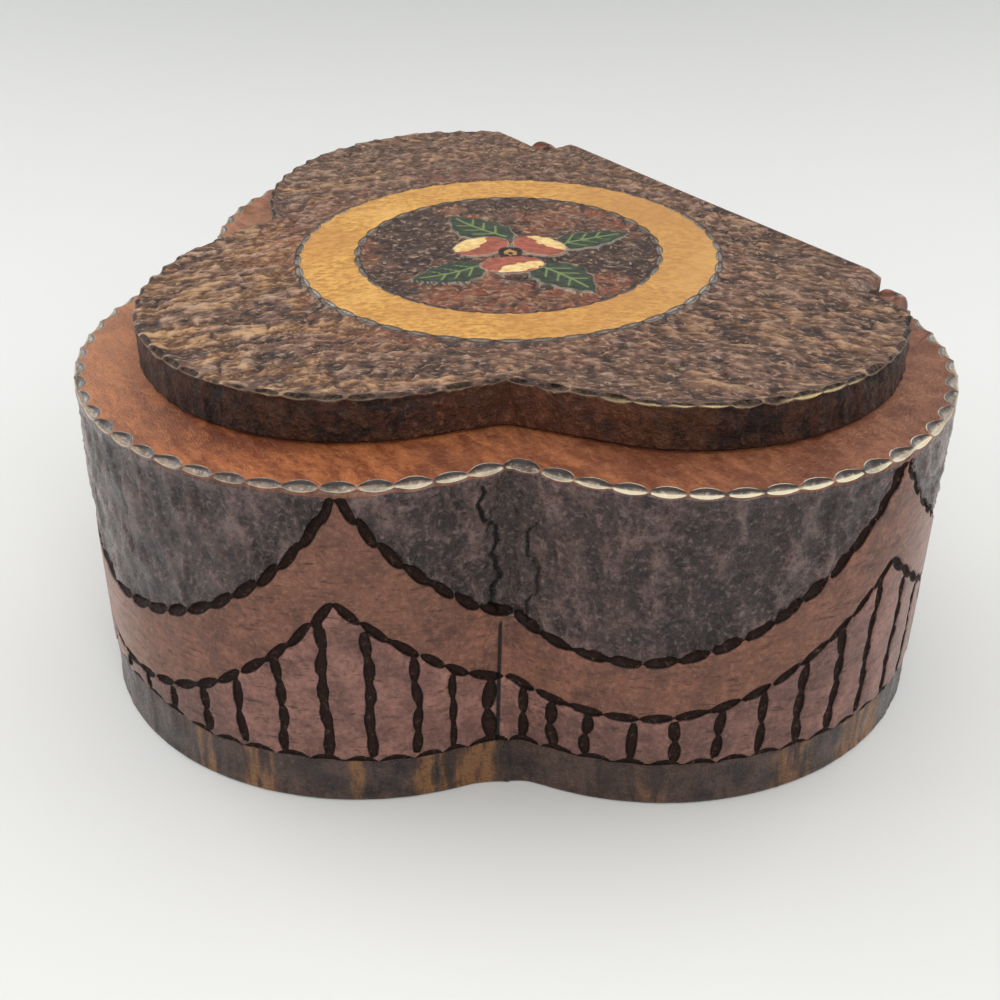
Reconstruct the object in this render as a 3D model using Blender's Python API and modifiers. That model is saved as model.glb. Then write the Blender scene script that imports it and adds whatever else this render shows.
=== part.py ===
"""Carved three-lobed trinket box with a hinged lid, for Blender 4.5.

A hollow wooden box whose plan is three round lobes: one at the front (-Y), one
on each side, and a straight side at the back (+Y) where the lid hinges. A shallow
V notch separates the front lobe from each side lobe. The lid is one board: its
lobes lie inside the rim, and its straight rear edge runs as a bar between two
small ears that rise from the rim.

Metres, +Z up. Origin: centre of the plan's bounding box, on the underside.
"""

import math

import bmesh
import bpy
from mathutils import Vector

MM = 0.001

# ---- driving sizes, millimetres -------------------------------------------------
# Plan sizes are measured from the centre of the lid's painted disc.
# A lobe is (centre x, centre y, radius); a notch is (distance, bearing in degrees).

BODY_HEIGHT = 53.3          # underside to rim
LID_GAP = 0.3               # between the rim and the lid that lies on it
LID_THICKNESS = 7.2
FLOOR_THICKNESS = 7.0

RIM_FRONT_LOBE = (1.9, -27.6, 43.0)
RIM_RIGHT_LOBE = (32.8, 7.7, 40.0)
RIM_LEFT_LOBE = (-30.4, 7.5, 40.2)
RIM_RIGHT_NOTCH = (54.7, -34.5)
RIM_LEFT_NOTCH = (53.1, -141.6)
BODY_BACK_Y = 47.7          # the straight side, tangent to both side lobes

# The hand-sawn wall isn't quite plumb: the underside's outline differs a little.
BASE_FRONT_LOBE = (1.2, -27.9, 43.2)
BASE_RIGHT_LOBE = (27.7, 7.9, 43.0)
BASE_LEFT_LOBE = (-31.0, 7.5, 40.2)
BASE_RIGHT_NOTCH = (55.1, -35.5)
BASE_LEFT_NOTCH = (54.3, -141.5)

LID_FRONT_LOBE = (0.6, -26.7, 34.0)
LID_RIGHT_LOBE = (30.3, 9.7, 33.2)
LID_LEFT_LOBE = (-27.4, 10.2, 34.2)
LID_RIGHT_NOTCH = (44.8, -35.6)
LID_LEFT_NOTCH = (42.4, -146.5)

CAVITY_INSET = 4.0          # how far the opening lies inside the lid's outline
CAVITY_BACK_Y = 31.0

HINGE_Y = 38.0              # axis of the lid, from the disc's centre
HINGE_MID_X = 1.5           # middle of the rear bar
HINGE_HALF_LENGTH = 40.0    # the rear bar reaches this far each way
BAR_TOP_ROUND = 1.7         # fuller upper corner: it lands on the rim at about 100 degrees
EAR_CLEARANCE = 2.2         # between the end of the bar and an ear
EAR_THICKNESS = 3.2
EAR_RADIUS = 2.8
EAR_CUT = 3.3               # the lid stops this far in front of the axis beside the bar

RIM_ROUND = 0.8
LID_ROUND = 0.6
SIDE_ARC_POINTS = 28        # steps along a side lobe
FRONT_ARC_POINTS = 28       # steps along the front lobe

# ---- derived sizes --------------------------------------------------------------

LID_BOTTOM = BODY_HEIGHT + LID_GAP
LID_TOP = LID_BOTTOM + LID_THICKNESS
HINGE_Z = LID_BOTTOM + LID_THICKNESS / 2
BAR_RADIUS = LID_THICKNESS / 2
BAR_FRONT_Y = HINGE_Y - 9.0

X_MIN = BASE_LEFT_LOBE[0] - BASE_LEFT_LOBE[2]
X_MAX = RIM_RIGHT_LOBE[0] + RIM_RIGHT_LOBE[2]
Y_MIN = BASE_FRONT_LOBE[1] - BASE_FRONT_LOBE[2]
ORIGIN_X = (X_MIN + X_MAX) / 2
ORIGIN_Y = (Y_MIN + BODY_BACK_Y) / 2


# ---- plan outline ---------------------------------------------------------------


def polar(length, degrees):
    return Vector((math.cos(math.radians(degrees)), math.sin(math.radians(degrees)))) * length


def on_lobe(lobe, degrees):
    return Vector(lobe[:2]) + polar(lobe[2], degrees)


def tangent_angle(lobe, point, side):
    """Bearing on the lobe where a line from the point touches it. side is +1 where an
    anticlockwise walk comes from the point onto the lobe, and -1 where it leaves."""
    away = point - Vector(lobe[:2])
    base = math.degrees(math.atan2(away.y, away.x))
    return base + side * math.degrees(math.acos(min(1.0, lobe[2] / away.length)))


def arc(lobe, start, end, count):
    """Points along the lobe, anticlockwise from one bearing to the other."""
    while end < start:
        end += 360
    return [on_lobe(lobe, start + (end - start) * i / count) for i in range(count + 1)]


def bearing_at_y(lobe, y):
    """Bearing, on the lobe's right half, of its point at this y."""
    return math.degrees(math.asin(max(-1.0, min(1.0, (y - lobe[1]) / lobe[2]))))


def trefoil(front, right, left, right_notch, left_notch, back_y):
    """Closed outline, anticlockwise from the right notch: right lobe, straight back,
    left lobe, left notch, front lobe."""
    notch_r, notch_l = polar(*right_notch), polar(*left_notch)
    points = [notch_r]
    points += arc(right, tangent_angle(right, notch_r, +1), bearing_at_y(right, back_y),
                  SIDE_ARC_POINTS)
    points += arc(left, 180 - bearing_at_y(left, back_y), tangent_angle(left, notch_l, -1),
                  SIDE_ARC_POINTS)
    points += [notch_l]
    points += arc(front, tangent_angle(front, notch_l, +1), tangent_angle(front, notch_r, -1),
                  FRONT_ARC_POINTS)
    return points


def inset(lobe, by):
    return (lobe[0], lobe[1], lobe[2] - by)


# ---- helpers --------------------------------------------------------------------


def collection(name, hidden=False):
    made = bpy.data.collections.new(name)
    bpy.context.scene.collection.children.link(made)
    made.hide_render = hidden
    return made


def profile_solid(name, points, thickness, into):
    """A flat outline (mm) extruded to a closed solid, centred on its own plane."""
    flat = bpy.data.curves.new(name + "_outline", "CURVE")
    flat.dimensions = "2D"
    flat.fill_mode = "BOTH"
    flat.extrude = thickness * MM / 2
    spline = flat.splines.new("POLY")
    spline.points.add(len(points) - 1)
    for slot, point in zip(spline.points, points):
        slot.co = (point[0] * MM, point[1] * MM, 0.0, 1.0)
    spline.use_cyclic_u = True
    guide = bpy.data.objects.new(name + "_outline", flat)
    into.objects.link(guide)
    bpy.context.view_layer.update()
    evaluated = guide.evaluated_get(bpy.context.evaluated_depsgraph_get())
    mesh = bpy.data.meshes.new_from_object(evaluated)
    mesh.name = name
    work = bmesh.new()
    work.from_mesh(mesh)
    bmesh.ops.remove_doubles(work, verts=work.verts, dist=1e-6)
    bmesh.ops.recalc_face_normals(work, faces=work.faces)
    work.to_mesh(mesh)
    work.free()
    made = bpy.data.objects.new(name, mesh)
    into.objects.link(made)
    bpy.data.objects.remove(guide, do_unlink=True)
    return made


def splay(obj, top, bottom):
    """Moves the lower outline of an extruded plan onto another one, point for point."""
    for vertex in obj.data.vertices:
        if vertex.co.z < 0:
            here = Vector((vertex.co.x, vertex.co.y)) / MM
            nearest = min(range(len(top)), key=lambda i: (top[i] - here).length)
            vertex.co.x, vertex.co.y = bottom[nearest] * MM


def lay(obj, z_middle):
    """Puts a plan solid at its height, in the part's frame."""
    obj.location = (-ORIGIN_X * MM, -ORIGIN_Y * MM, z_middle * MM)
    return obj


def stand(obj, x_middle, y, z):
    """Turns a profile drawn in (y, z) so that it is extruded along X."""
    obj.rotation_euler = (math.radians(90), 0, math.radians(90))
    obj.location = ((x_middle - ORIGIN_X) * MM, (y - ORIGIN_Y) * MM, z * MM)
    return obj


def quarter(cx, cy, radius, start, end, count):
    return [
        (cx + radius * math.cos(math.radians(start + (end - start) * i / count)),
         cy + radius * math.sin(math.radians(start + (end - start) * i / count)))
        for i in range(count + 1)
    ]


def helper(obj):
    obj.hide_render = True
    obj.display_type = "WIRE"
    return obj


def round_edges(obj, width, segments):
    bevel = obj.modifiers.new("edge_round", "BEVEL")
    bevel.width = width * MM
    bevel.segments = segments
    bevel.limit_method = "ANGLE"
    bevel.angle_limit = math.radians(60)
    bevel.use_clamp_overlap = True
    return bevel


def boolean(obj, other, operation, name):
    cut = obj.modifiers.new(name, "BOOLEAN")
    cut.operation = operation
    cut.solver = "EXACT"
    cut.object = other
    return cut


def wood(name, colour, roughness):
    made = bpy.data.materials.new(name)
    made.use_nodes = True
    shader = made.node_tree.nodes["Principled BSDF"]
    shader.inputs["Base Color"].default_value = (*colour, 1.0)
    shader.inputs["Roughness"].default_value = roughness
    shader.inputs["Metallic"].default_value = 0.0
    return made


def smooth(obj):
    obj.data.shade_smooth()
    obj.data.set_sharp_from_angle(angle=math.radians(35))


# ---- the box --------------------------------------------------------------------


def build_body(parts, cutters):
    rim = trefoil(RIM_FRONT_LOBE, RIM_RIGHT_LOBE, RIM_LEFT_LOBE,
                  RIM_RIGHT_NOTCH, RIM_LEFT_NOTCH, BODY_BACK_Y)
    base = trefoil(BASE_FRONT_LOBE, BASE_RIGHT_LOBE, BASE_LEFT_LOBE,
                   BASE_RIGHT_NOTCH, BASE_LEFT_NOTCH, BODY_BACK_Y)
    body = profile_solid("box_body", rim, BODY_HEIGHT, parts)
    splay(body, rim, base)
    lay(body, BODY_HEIGHT / 2)
    round_edges(body, RIM_ROUND, 2)

    opening = trefoil(
        inset(LID_FRONT_LOBE, CAVITY_INSET), inset(LID_RIGHT_LOBE, CAVITY_INSET),
        inset(LID_LEFT_LOBE, CAVITY_INSET),
        (LID_RIGHT_NOTCH[0] - CAVITY_INSET, LID_RIGHT_NOTCH[1]),
        (LID_LEFT_NOTCH[0] - CAVITY_INSET, LID_LEFT_NOTCH[1]), CAVITY_BACK_Y)
    deep = BODY_HEIGHT + 10 - FLOOR_THICKNESS
    hollow = helper(lay(profile_solid("cut_hollow", opening, deep, cutters),
                        FLOOR_THICKNESS + deep / 2))
    boolean(body, hollow, "DIFFERENCE", "hollow")

    # An ear is a thin upright with a half-round top about the hinge axis. It grows
    # out of the rim, so its foot is carried down into the wall.
    foot = BODY_HEIGHT - 6.0 - HINGE_Z
    ear_profile = [(-EAR_RADIUS, foot), (EAR_RADIUS, foot)]
    ear_profile += quarter(0, 0, EAR_RADIUS, 0, 180, 12)
    reach = HINGE_HALF_LENGTH + EAR_CLEARANCE + EAR_THICKNESS / 2
    for side, x in (("right", HINGE_MID_X + reach), ("left", HINGE_MID_X - reach)):
        ear = profile_solid("add_ear_" + side, ear_profile, EAR_THICKNESS, cutters)
        round_edges(ear, 0.35, 1)
        helper(stand(ear, x, HINGE_Y, HINGE_Z))
        boolean(body, ear, "UNION", "ear_" + side)

    body.data.materials.append(wood("oiled_red_brown_wood", (0.19, 0.075, 0.035), 0.42))
    smooth(body)
    return body


def build_lid(parts, cutters):
    outline = trefoil(LID_FRONT_LOBE, LID_RIGHT_LOBE, LID_LEFT_LOBE,
                      LID_RIGHT_NOTCH, LID_LEFT_NOTCH, HINGE_Y - EAR_CUT)
    board = lay(profile_solid("lid", outline, LID_THICKNESS, parts), HINGE_Z)
    round_edges(board, LID_ROUND, 2)

    # The rear bar: fully rounded below so that it can turn on the rim, and with a
    # fuller corner above, which is what stops the lid when it stands open.
    corner = BAR_RADIUS - BAR_TOP_ROUND
    front = BAR_FRONT_Y - HINGE_Y
    bar_profile = [(front, -BAR_RADIUS)]
    bar_profile += quarter(0, 0, BAR_RADIUS, -90, 0, 6)
    bar_profile += quarter(corner, corner, BAR_TOP_ROUND, 0, 90, 4)
    bar_profile += [(front, BAR_RADIUS)]
    bar = profile_solid("add_bar", bar_profile, 2 * HINGE_HALF_LENGTH, cutters)
    helper(stand(bar, HINGE_MID_X, HINGE_Y, HINGE_Z))
    boolean(board, bar, "UNION", "bar")

    board.data.materials.append(wood("stained_carved_wood", (0.11, 0.058, 0.032), 0.6))
    smooth(board)

    # The lid's origin goes onto the hinge axis, and an empty there carries it.
    axis = Vector(((HINGE_MID_X - ORIGIN_X) * MM, (HINGE_Y - ORIGIN_Y) * MM, HINGE_Z * MM))
    offset = board.location - axis
    for vertex in board.data.vertices:
        vertex.co += offset
    pivot = bpy.data.objects.new("lid_hinge_axis", None)
    pivot.empty_display_type = "SINGLE_ARROW"
    pivot.empty_display_size = 0.03
    pivot.location = axis
    parts.objects.link(pivot)
    board.parent = pivot
    board.location = (0.0, 0.0, 0.0)
    return board


def main():
    for obj in list(bpy.data.objects):
        bpy.data.objects.remove(obj, do_unlink=True)
    bpy.context.scene.unit_settings.system = "METRIC"
    bpy.context.scene.unit_settings.length_unit = "MILLIMETERS"
    parts = collection("carved_trefoil_trinket_box")
    cutters = collection("cutters_and_additions", hidden=True)
    build_body(parts, cutters)
    build_lid(parts, cutters)
    bpy.context.view_layer.update()


main()
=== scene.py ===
import math

import bpy
import numpy as np
from mathutils import Matrix, Vector


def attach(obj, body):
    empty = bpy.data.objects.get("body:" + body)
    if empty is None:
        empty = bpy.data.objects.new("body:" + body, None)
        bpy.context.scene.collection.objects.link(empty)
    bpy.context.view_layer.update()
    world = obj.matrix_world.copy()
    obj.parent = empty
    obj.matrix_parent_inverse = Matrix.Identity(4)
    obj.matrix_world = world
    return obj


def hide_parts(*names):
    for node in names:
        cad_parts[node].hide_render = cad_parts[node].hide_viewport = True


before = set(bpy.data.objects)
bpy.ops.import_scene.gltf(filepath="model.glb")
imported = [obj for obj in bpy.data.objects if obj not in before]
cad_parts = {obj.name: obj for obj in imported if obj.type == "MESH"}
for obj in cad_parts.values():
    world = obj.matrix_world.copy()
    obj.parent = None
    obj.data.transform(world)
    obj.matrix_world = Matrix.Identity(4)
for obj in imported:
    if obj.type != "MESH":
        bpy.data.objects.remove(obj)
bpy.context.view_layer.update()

# ---------------------------------------------------------------------------------
# A hand-carved wooden trinket box, three lobes in plan with a straight hinge side.
# All plan sizes are millimetres from the centre of the lid's painted disc.
# ---------------------------------------------------------------------------------

ORIGIN = np.array([0.8, -11.7])      # the part frame's origin in those millimetres
BODY_TOP = 53.3
LID_BOTTOM = 53.6
LID_TOP = 60.8
FLOOR_Z = 7.0
HINGE_Y, HINGE_Z = 38.0, 57.2
BAR_R, BAR_TOP_R = 3.6, 1.7
BAR_X = (-38.5, 41.5)
EAR_X = ((43.7, 46.9), (-43.9, -40.7))
EAR_R = 2.8

RIM = dict(front=(1.9, -27.6, 43.0), right=(32.8, 7.7, 40.0), left=(-30.4, 7.5, 40.2),
           nr=(54.7, -34.5), nl=(53.1, -141.6), back=47.7)
BASE = dict(front=(1.2, -27.9, 43.2), right=(27.7, 7.9, 43.0), left=(-31.0, 7.5, 40.2),
            nr=(55.1, -35.5), nl=(54.3, -141.5), back=47.7)
OPENING = dict(front=(0.6, -26.7, 30.0), right=(30.3, 9.7, 29.2), left=(-27.4, 10.2, 30.2),
               nr=(40.8, -35.6), nl=(38.4, -146.5), back=31.0)
LID = dict(front=(0.6, -26.7, 34.0), right=(30.3, 9.7, 33.2), left=(-27.4, 10.2, 34.2),
           nr=(44.8, -35.6), nl=(42.4, -146.5), back=34.7)

VIEW_TURN = math.radians(55.3)       # the painted flower is laid out along the photo's view

# ---- small numeric helpers ---------------------------------------------------------


def smooth(a, b, x):
    t = np.clip((x - a) / (b - a), 0.0, 1.0)
    return t * t * (3 - 2 * t)


def lattice(ix, iy, seed):
    """A repeatable value from 0 to 1 for each pair of whole numbers."""
    h = (ix.astype(np.int64) * 374761393 + iy.astype(np.int64) * 668265263
         + int(seed) * 1442695041) & 0xFFFFFFFF
    h = ((h ^ (h >> 13)) * 1274126177) & 0xFFFFFFFF
    h = ((h ^ (h >> 16)) * 2246822519) & 0xFFFFFFFF
    return ((h ^ (h >> 15)) & 0xFFFFFF) / float(0xFFFFFF)


def noise(x, y, seed, wrap=None):
    """Smooth value noise, -1 to 1, one lattice step per unit. wrap repeats it along x."""
    ix, iy = np.floor(x), np.floor(y)
    fx, fy = x - ix, y - iy
    fx = fx * fx * fx * (fx * (fx * 6 - 15) + 10)
    fy = fy * fy * fy * (fy * (fy * 6 - 15) + 10)
    x0, x1 = ix, ix + 1
    if wrap:
        x0, x1 = np.mod(x0, wrap), np.mod(x1, wrap)
    a, b = lattice(x0, iy, seed), lattice(x1, iy, seed)
    c, d = lattice(x0, iy + 1, seed), lattice(x1, iy + 1, seed)
    return 2 * ((a * (1 - fx) + b * fx) * (1 - fy) + (c * (1 - fx) + d * fx) * fy) - 1


def scoops(x, y, seed, wrap=None):
    """Distance to the nearest and second nearest of one jittered point per unit cell,
    and a random value for the nearest cell."""
    ix, iy = np.floor(x), np.floor(y)
    best = np.full(x.shape, 9.0)
    second = np.full(x.shape, 9.0)
    tone = np.zeros(x.shape)
    for dx in (-1, 0, 1):
        for dy in (-1, 0, 1):
            cx, cy = ix + dx, iy + dy
            kx = np.mod(cx, wrap) if wrap else cx
            px = cx + 0.15 + 0.7 * lattice(kx, cy, seed)
            py = cy + 0.15 + 0.7 * lattice(kx, cy, seed + 7)
            d = np.hypot(px - x, py - y)
            nearer = d < best
            second = np.where(nearer, best, np.minimum(second, d))
            tone = np.where(nearer, lattice(kx, cy, seed + 19), tone)
            best = np.where(nearer, d, best)
    return best, second, tone


# ---- plan outlines -------------------------------------------------------------------


def polar(length, degrees):
    a = math.radians(degrees)
    return np.array([math.cos(a), math.sin(a)]) * length


def tangent_angle(lobe, point, side):
    away = point - np.array(lobe[:2])
    return math.degrees(math.atan2(away[1], away[0])) + side * math.degrees(
        math.acos(min(1.0, lobe[2] / np.hypot(*away))))


def bearing_at_y(lobe, y):
    return math.degrees(math.asin(max(-1.0, min(1.0, (y - lobe[1]) / lobe[2]))))


def on_lobe(lobe, degrees):
    return np.array(lobe[:2]) + polar(lobe[2], degrees)


def outline_pieces(o):
    """Lines and arcs, anticlockwise from the right notch: right lobe, straight back,
    left lobe, left notch, front lobe."""
    nr, nl = polar(*o["nr"]), polar(*o["nl"])
    r, l, f = o["right"], o["left"], o["front"]
    a0, a1 = tangent_angle(r, nr, +1), bearing_at_y(r, o["back"])
    b0, b1 = 180 - bearing_at_y(l, o["back"]), tangent_angle(l, nl, -1)
    c0, c1 = tangent_angle(f, nl, +1), tangent_angle(f, nr, -1)
    while a1 < a0:
        a1 += 360
    while b1 < b0:
        b1 += 360
    while c1 < c0:
        c1 += 360
    return [("line", nr, on_lobe(r, a0)), ("arc", r, a0, a1),
            ("line", on_lobe(r, a1), on_lobe(l, b0)), ("arc", l, b0, b1),
            ("line", on_lobe(l, b1), nl), ("line", nl, on_lobe(f, c0)),
            ("arc", f, c0, c1), ("line", on_lobe(f, c1), nr)]


def piece_length(p):
    if p[0] == "line":
        return float(np.hypot(*(p[2] - p[1])))
    return math.radians(p[3] - p[2]) * p[1][2]


def piece_points(p, f):
    f = np.asarray(f)[:, None]
    if p[0] == "line":
        return p[1] + (p[2] - p[1]) * f
    a = np.radians(p[2] + (p[3] - p[2]) * f)
    return np.hstack([p[1][0] + p[1][2] * np.cos(a), p[1][1] + p[1][2] * np.sin(a)])


RIM_PIECES = outline_pieces(RIM)
RIM_LENGTHS = [piece_length(p) for p in RIM_PIECES]
RIM_STARTS = np.concatenate([[0], np.cumsum(RIM_LENGTHS)])
GIRTH = float(RIM_STARTS[-1])         # about 419 mm around the rim
NOTCH_LEFT = float(RIM_STARTS[5])     # where the left notch is; the right one is at 0


def around(outline, s):
    """The point of this outline that belongs to each distance s along the rim, by the
    same share of each line and arc."""
    pieces = outline_pieces(outline)
    s = np.mod(s, GIRTH)
    out = np.zeros((len(s), 2))
    for i, p in enumerate(pieces):
        inside = (s >= RIM_STARTS[i]) & (s < RIM_STARTS[i + 1] + (1e-9 if i == 7 else 0))
        out[inside] = piece_points(p, (s[inside] - RIM_STARTS[i]) / RIM_LENGTHS[i])
    return out


def foot_drift():
    """How far along the base outline to look for the point straight below each point of
    the rim. The notches stay below the notches."""
    g = np.arange(0, GIRTH, 0.5)
    top, foot = around(RIM, g), around(BASE, g)
    n = len(g)
    found = np.zeros(n)
    for i in range(n):
        k = (i + np.arange(-24, 25)) % n
        found[i] = (int(((foot[k] - top[i]) ** 2).sum(1).argmin()) - 24) * 0.5
    for notch in (0.0, RIM_STARTS[5]):
        away = np.abs(np.mod(g - notch + GIRTH / 2, GIRTH) - GIRTH / 2)
        found = found * smooth(2.0, 14.0, away)
    weights = np.exp(-(np.arange(-12, 13) * 0.5 / 2.0) ** 2 / 2)
    weights /= weights.sum()
    return g, np.convolve(np.concatenate([found[-12:], found, found[:12]]), weights, "valid")


DRIFT = foot_drift()


def below(s):
    """The base outline's points under the rim's points."""
    return around(BASE, s + np.interp(s, DRIFT[0], DRIFT[1], period=GIRTH))


# ---- the carved pattern on the wall ----------------------------------------------------
# s is millimetres along the rim from the right notch, z is millimetres above the floor.

SWAG_PEAKS = [56.2, 143.0, 229.0, 315.2, 395.4]       # the swags meet here, at the rim
SWAG_LOWS = [25.6, 26.0, 25.8, 25.6, 25.4]            # lowest point left of each peak
LOWER_PEAKS = [57.4, 144.0, 230.0, 314.8, 393.9]
LOWER_LOWS = [16.0, 15.6, 15.4, 15.0, 12.6]
CUT_PITCH = 4.9
LINES = np.array([2.1, 6.7] + [11.4 + 6.27 * k for k in range(8)] + [62.4 + 6.6 * k for k in range(47)]
                 + [366.0 + 6.43 * k for k in range(1, 8)] + [416.7])


# Places along the wall, half widths and strengths of worn patches on the foot, in mm.
WORN_FOOT = [(371, 1.8, 0.7), (380.5, 2.6, 0.9), (395.5, 1.3, 0.6), (405.3, 2.0, 0.75),
             (409.0, 1.2, 0.8), (414.3, 3.3, 1.0), (20, 4, 0.35), (44, 5, 0.55), (58, 6, 0.7)]


def swag(s, peaks, lows, top, shape):
    """Height of a festoon line, its slope, and the distance along it from a peak."""
    s = np.mod(s, GIRTH)
    z, slope, run = np.zeros_like(s), np.zeros_like(s), np.zeros_like(s)
    for i in range(len(peaks)):
        left, right = peaks[i - 1], peaks[i]
        if left > right:
            left -= GIRTH
        for shift in (0.0, GIRTH):
            a, b = left + shift, right + shift
            inside = (s >= a) & (s < b)
            if not inside.any():
                continue
            half, mid = (b - a) / 2, (a + b) / 2
            fine = np.linspace(a, b, 1200)
            fz = lows[i] + (top - lows[i]) * shape(np.abs(fine - mid) / half)
            gone = np.concatenate([[0], np.cumsum(np.hypot(np.diff(fine), np.diff(fz)))])
            count = max(1, round(gone[-1] / CUT_PITCH))
            gone *= count / gone[-1]
            z[inside] = np.interp(s[inside], fine, fz)
            slope[inside] = np.interp(s[inside], fine, np.gradient(fz, fine))
            run[inside] = np.interp(s[inside], fine, gone)
    return z, slope, run


def upper_shape(u):
    return 0.86 * u ** 1.9 + 0.14 * u ** 10


def lower_shape(u):
    return u ** 2.05


def bottom_line(s):
    m = np.mod(s, GIRTH)
    wave = 0.35 * noise(m / GIRTH * 24, np.zeros_like(m) + 3.5, 5, wrap=24)
    return 7.7 + wave + 1.3 * smooth(338, 350, m) * (1 - smooth(362, 374, m))


def lens(phase, across, width, end=0.96):
    """A chip cut by two strokes of a gouge: how deep it is, 0 to 1, and how far inside
    its rim a point lies in millimetres."""
    u = np.abs(2 * (phase - np.floor(phase)) - 1) / end
    half = width * np.sqrt(np.clip(1 - u * u, 0, 1))
    inside = half - np.abs(across)
    depth = np.clip(1 - (across / np.maximum(half, 1e-3)) ** 2, 0, 1) * (inside > 0)
    return depth * (half / width), inside


def wall_relief(s, z):
    """Outward relief in millimetres, and the masks that the finish reads."""
    zu, ku, ru = swag(s, SWAG_PEAKS, SWAG_LOWS, 52.4, upper_shape)
    zl, kl, rl = swag(s, LOWER_PEAKS, LOWER_LOWS, 35.2, lower_shape)
    zb = bottom_line(s)
    cu, cl = 1 / np.hypot(1, ku), 1 / np.hypot(1, kl)
    du, dl, db = (z - zu) * cu, (z - zl) * cl, z - zb

    depth = np.zeros_like(s)
    inside = np.full_like(s, -3.0)

    def add(d, i, scale):
        nonlocal depth, inside
        depth = np.maximum(depth, d * scale)
        inside = np.maximum(inside, i)

    jit_u = 0.12 * noise(ru * 1.0, np.zeros_like(s), 11)
    jit_l = 0.12 * noise(rl * 1.0, np.zeros_like(s), 12)
    d, i = lens(ru, du - jit_u, 0.92, end=0.99)
    add(d, i, 0.75)
    d, i = lens(rl, dl - jit_l, 0.88, end=0.99)
    add(d, i, 0.75)
    count = round(GIRTH / 5.05)
    rb = s / GIRTH * count
    tall = 0.75 * (1 - (2 * (rb - np.floor(rb)) - 1) ** 2) - 0.1
    d, i = lens(rb, db - tall, 0.62, end=1.05)
    add(d, i, 0.62)

    # Upright rows of cuts between the lower festoon and the bottom line.
    m = np.mod(s, GIRTH)
    for n, at in enumerate(LINES):
        near = np.abs(np.mod(m - at + GIRTH / 2, GIRTH) - GIRTH / 2) < 1.6
        if not near.any():
            continue
        off = np.mod(m[near] - at + GIRTH / 2, GIRTH) - GIRTH / 2
        low = float(bottom_line(np.array([at]))[0]) + 0.9
        high = float(swag(np.array([at]), LOWER_PEAKS, LOWER_LOWS, 35.2, lower_shape)[0][0]) - 0.7
        cuts = max(1, round((high - low) / 4.7))
        t = (z[near] - low) / (high - low) * cuts
        sway = 0.22 * np.sin(t * 1.7 + n * 2.1) + 0.1 * np.sin(t * 4.1 + n)
        d, i = lens(t, off - sway, 0.92 + 0.08 * math.sin(n * 1.9), end=1.06)
        ok = (z[near] > low) & (z[near] < high)
        d, i = d * ok, np.where(ok, i, -3.0)
        depth[near] = np.maximum(depth[near], d * 0.62)
        inside[near] = np.maximum(inside[near], i)

    upper = smooth(-0.15, 0.35, du)
    base = 1 - smooth(-0.25, 0.3, db)
    zone_low = (1 - smooth(-0.2, 0.2, dl)) * (1 - base)

    # The ground above the festoons is worked with upright gouge strokes, leaning a little.
    lean = s + 0.20 * (z - 40)
    warp = 1.3 * noise(lean / GIRTH * 90, z / 5, 21, wrap=90)
    f1, f2, tone = scoops((lean + warp) / GIRTH * 236, z / 5.2, 31, wrap=236)
    strokes = 1 - np.clip(f1 * 1.25, 0, 1) ** 2
    wavy = 1 - np.abs(noise((lean + 1.2 * warp) / GIRTH * 172, z / 6.0, 32, wrap=172))
    small = 1 - np.abs(noise((lean - warp) / GIRTH * 310, z / 3.0, 35, wrap=310))
    fine = noise(s / GIRTH * 640, z / 1.2, 33, wrap=640)
    wide = noise(s / GIRTH * 84, z / 12, 34, wrap=84)
    ground = (-0.16 - 0.14 * strokes + 0.48 * (wavy ** 2 - 0.5) + 0.22 * (small ** 2 - 0.5)
              + 0.05 * fine + 0.10 * wide)
    # Crest height of the strokes, which the finish turns into painted sheen on crests and painted shade in hollows.
    tone = np.clip(0.5 + 0.8 * (wavy ** 2 - 0.5) + 0.45 * (small ** 2 - 0.5) - 0.3 * (strokes - 0.5), 0, 1)
    relief = ground * upper

    # The foot strip is cut back and chopped with broad upright strokes.
    f1b, f2b, toneb = scoops(s / GIRTH * 110, z / 7 + 0.3, 41, wrap=110)
    chop = 1 - np.abs(noise(s / GIRTH * 260, z / 4.0, 44, wrap=260))
    foot = (-0.30 - 0.20 * (0.5 - f1b * f1b * 1.4) + 0.16 * (chop ** 2 - 0.5)
            + 0.07 * noise(s / GIRTH * 420, z / 1.6, 43, wrap=420))
    # Where the stain is worn off the foot: patches, most of them beside the right notch.
    toneb = smooth(0.25, 0.75, noise(s / GIRTH * 37, z / 9, 45, wrap=37)) * 0.7
    seen = smooth(GIRTH - 66, GIRTH - 60, m) + (1 - smooth(70, 76, m))
    worn = np.zeros_like(s)
    for at, half, much in WORN_FOOT:
        off = np.mod(m - at + GIRTH / 2, GIRTH) - GIRTH / 2
        worn = np.maximum(worn, much * np.exp(-(off / half) ** 4))
    toneb = toneb * (1 - seen) + worn * seen
    relief = relief + foot * base * smooth(-0.2, 1.2, z)

    # Smooth bands keep a trace of the plane.
    plain = (1 - upper) * (1 - base)
    relief = relief + plain * 0.03 * noise(s / GIRTH * 150, z / 3.0, 51, wrap=150)
    relief = relief - depth

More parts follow.
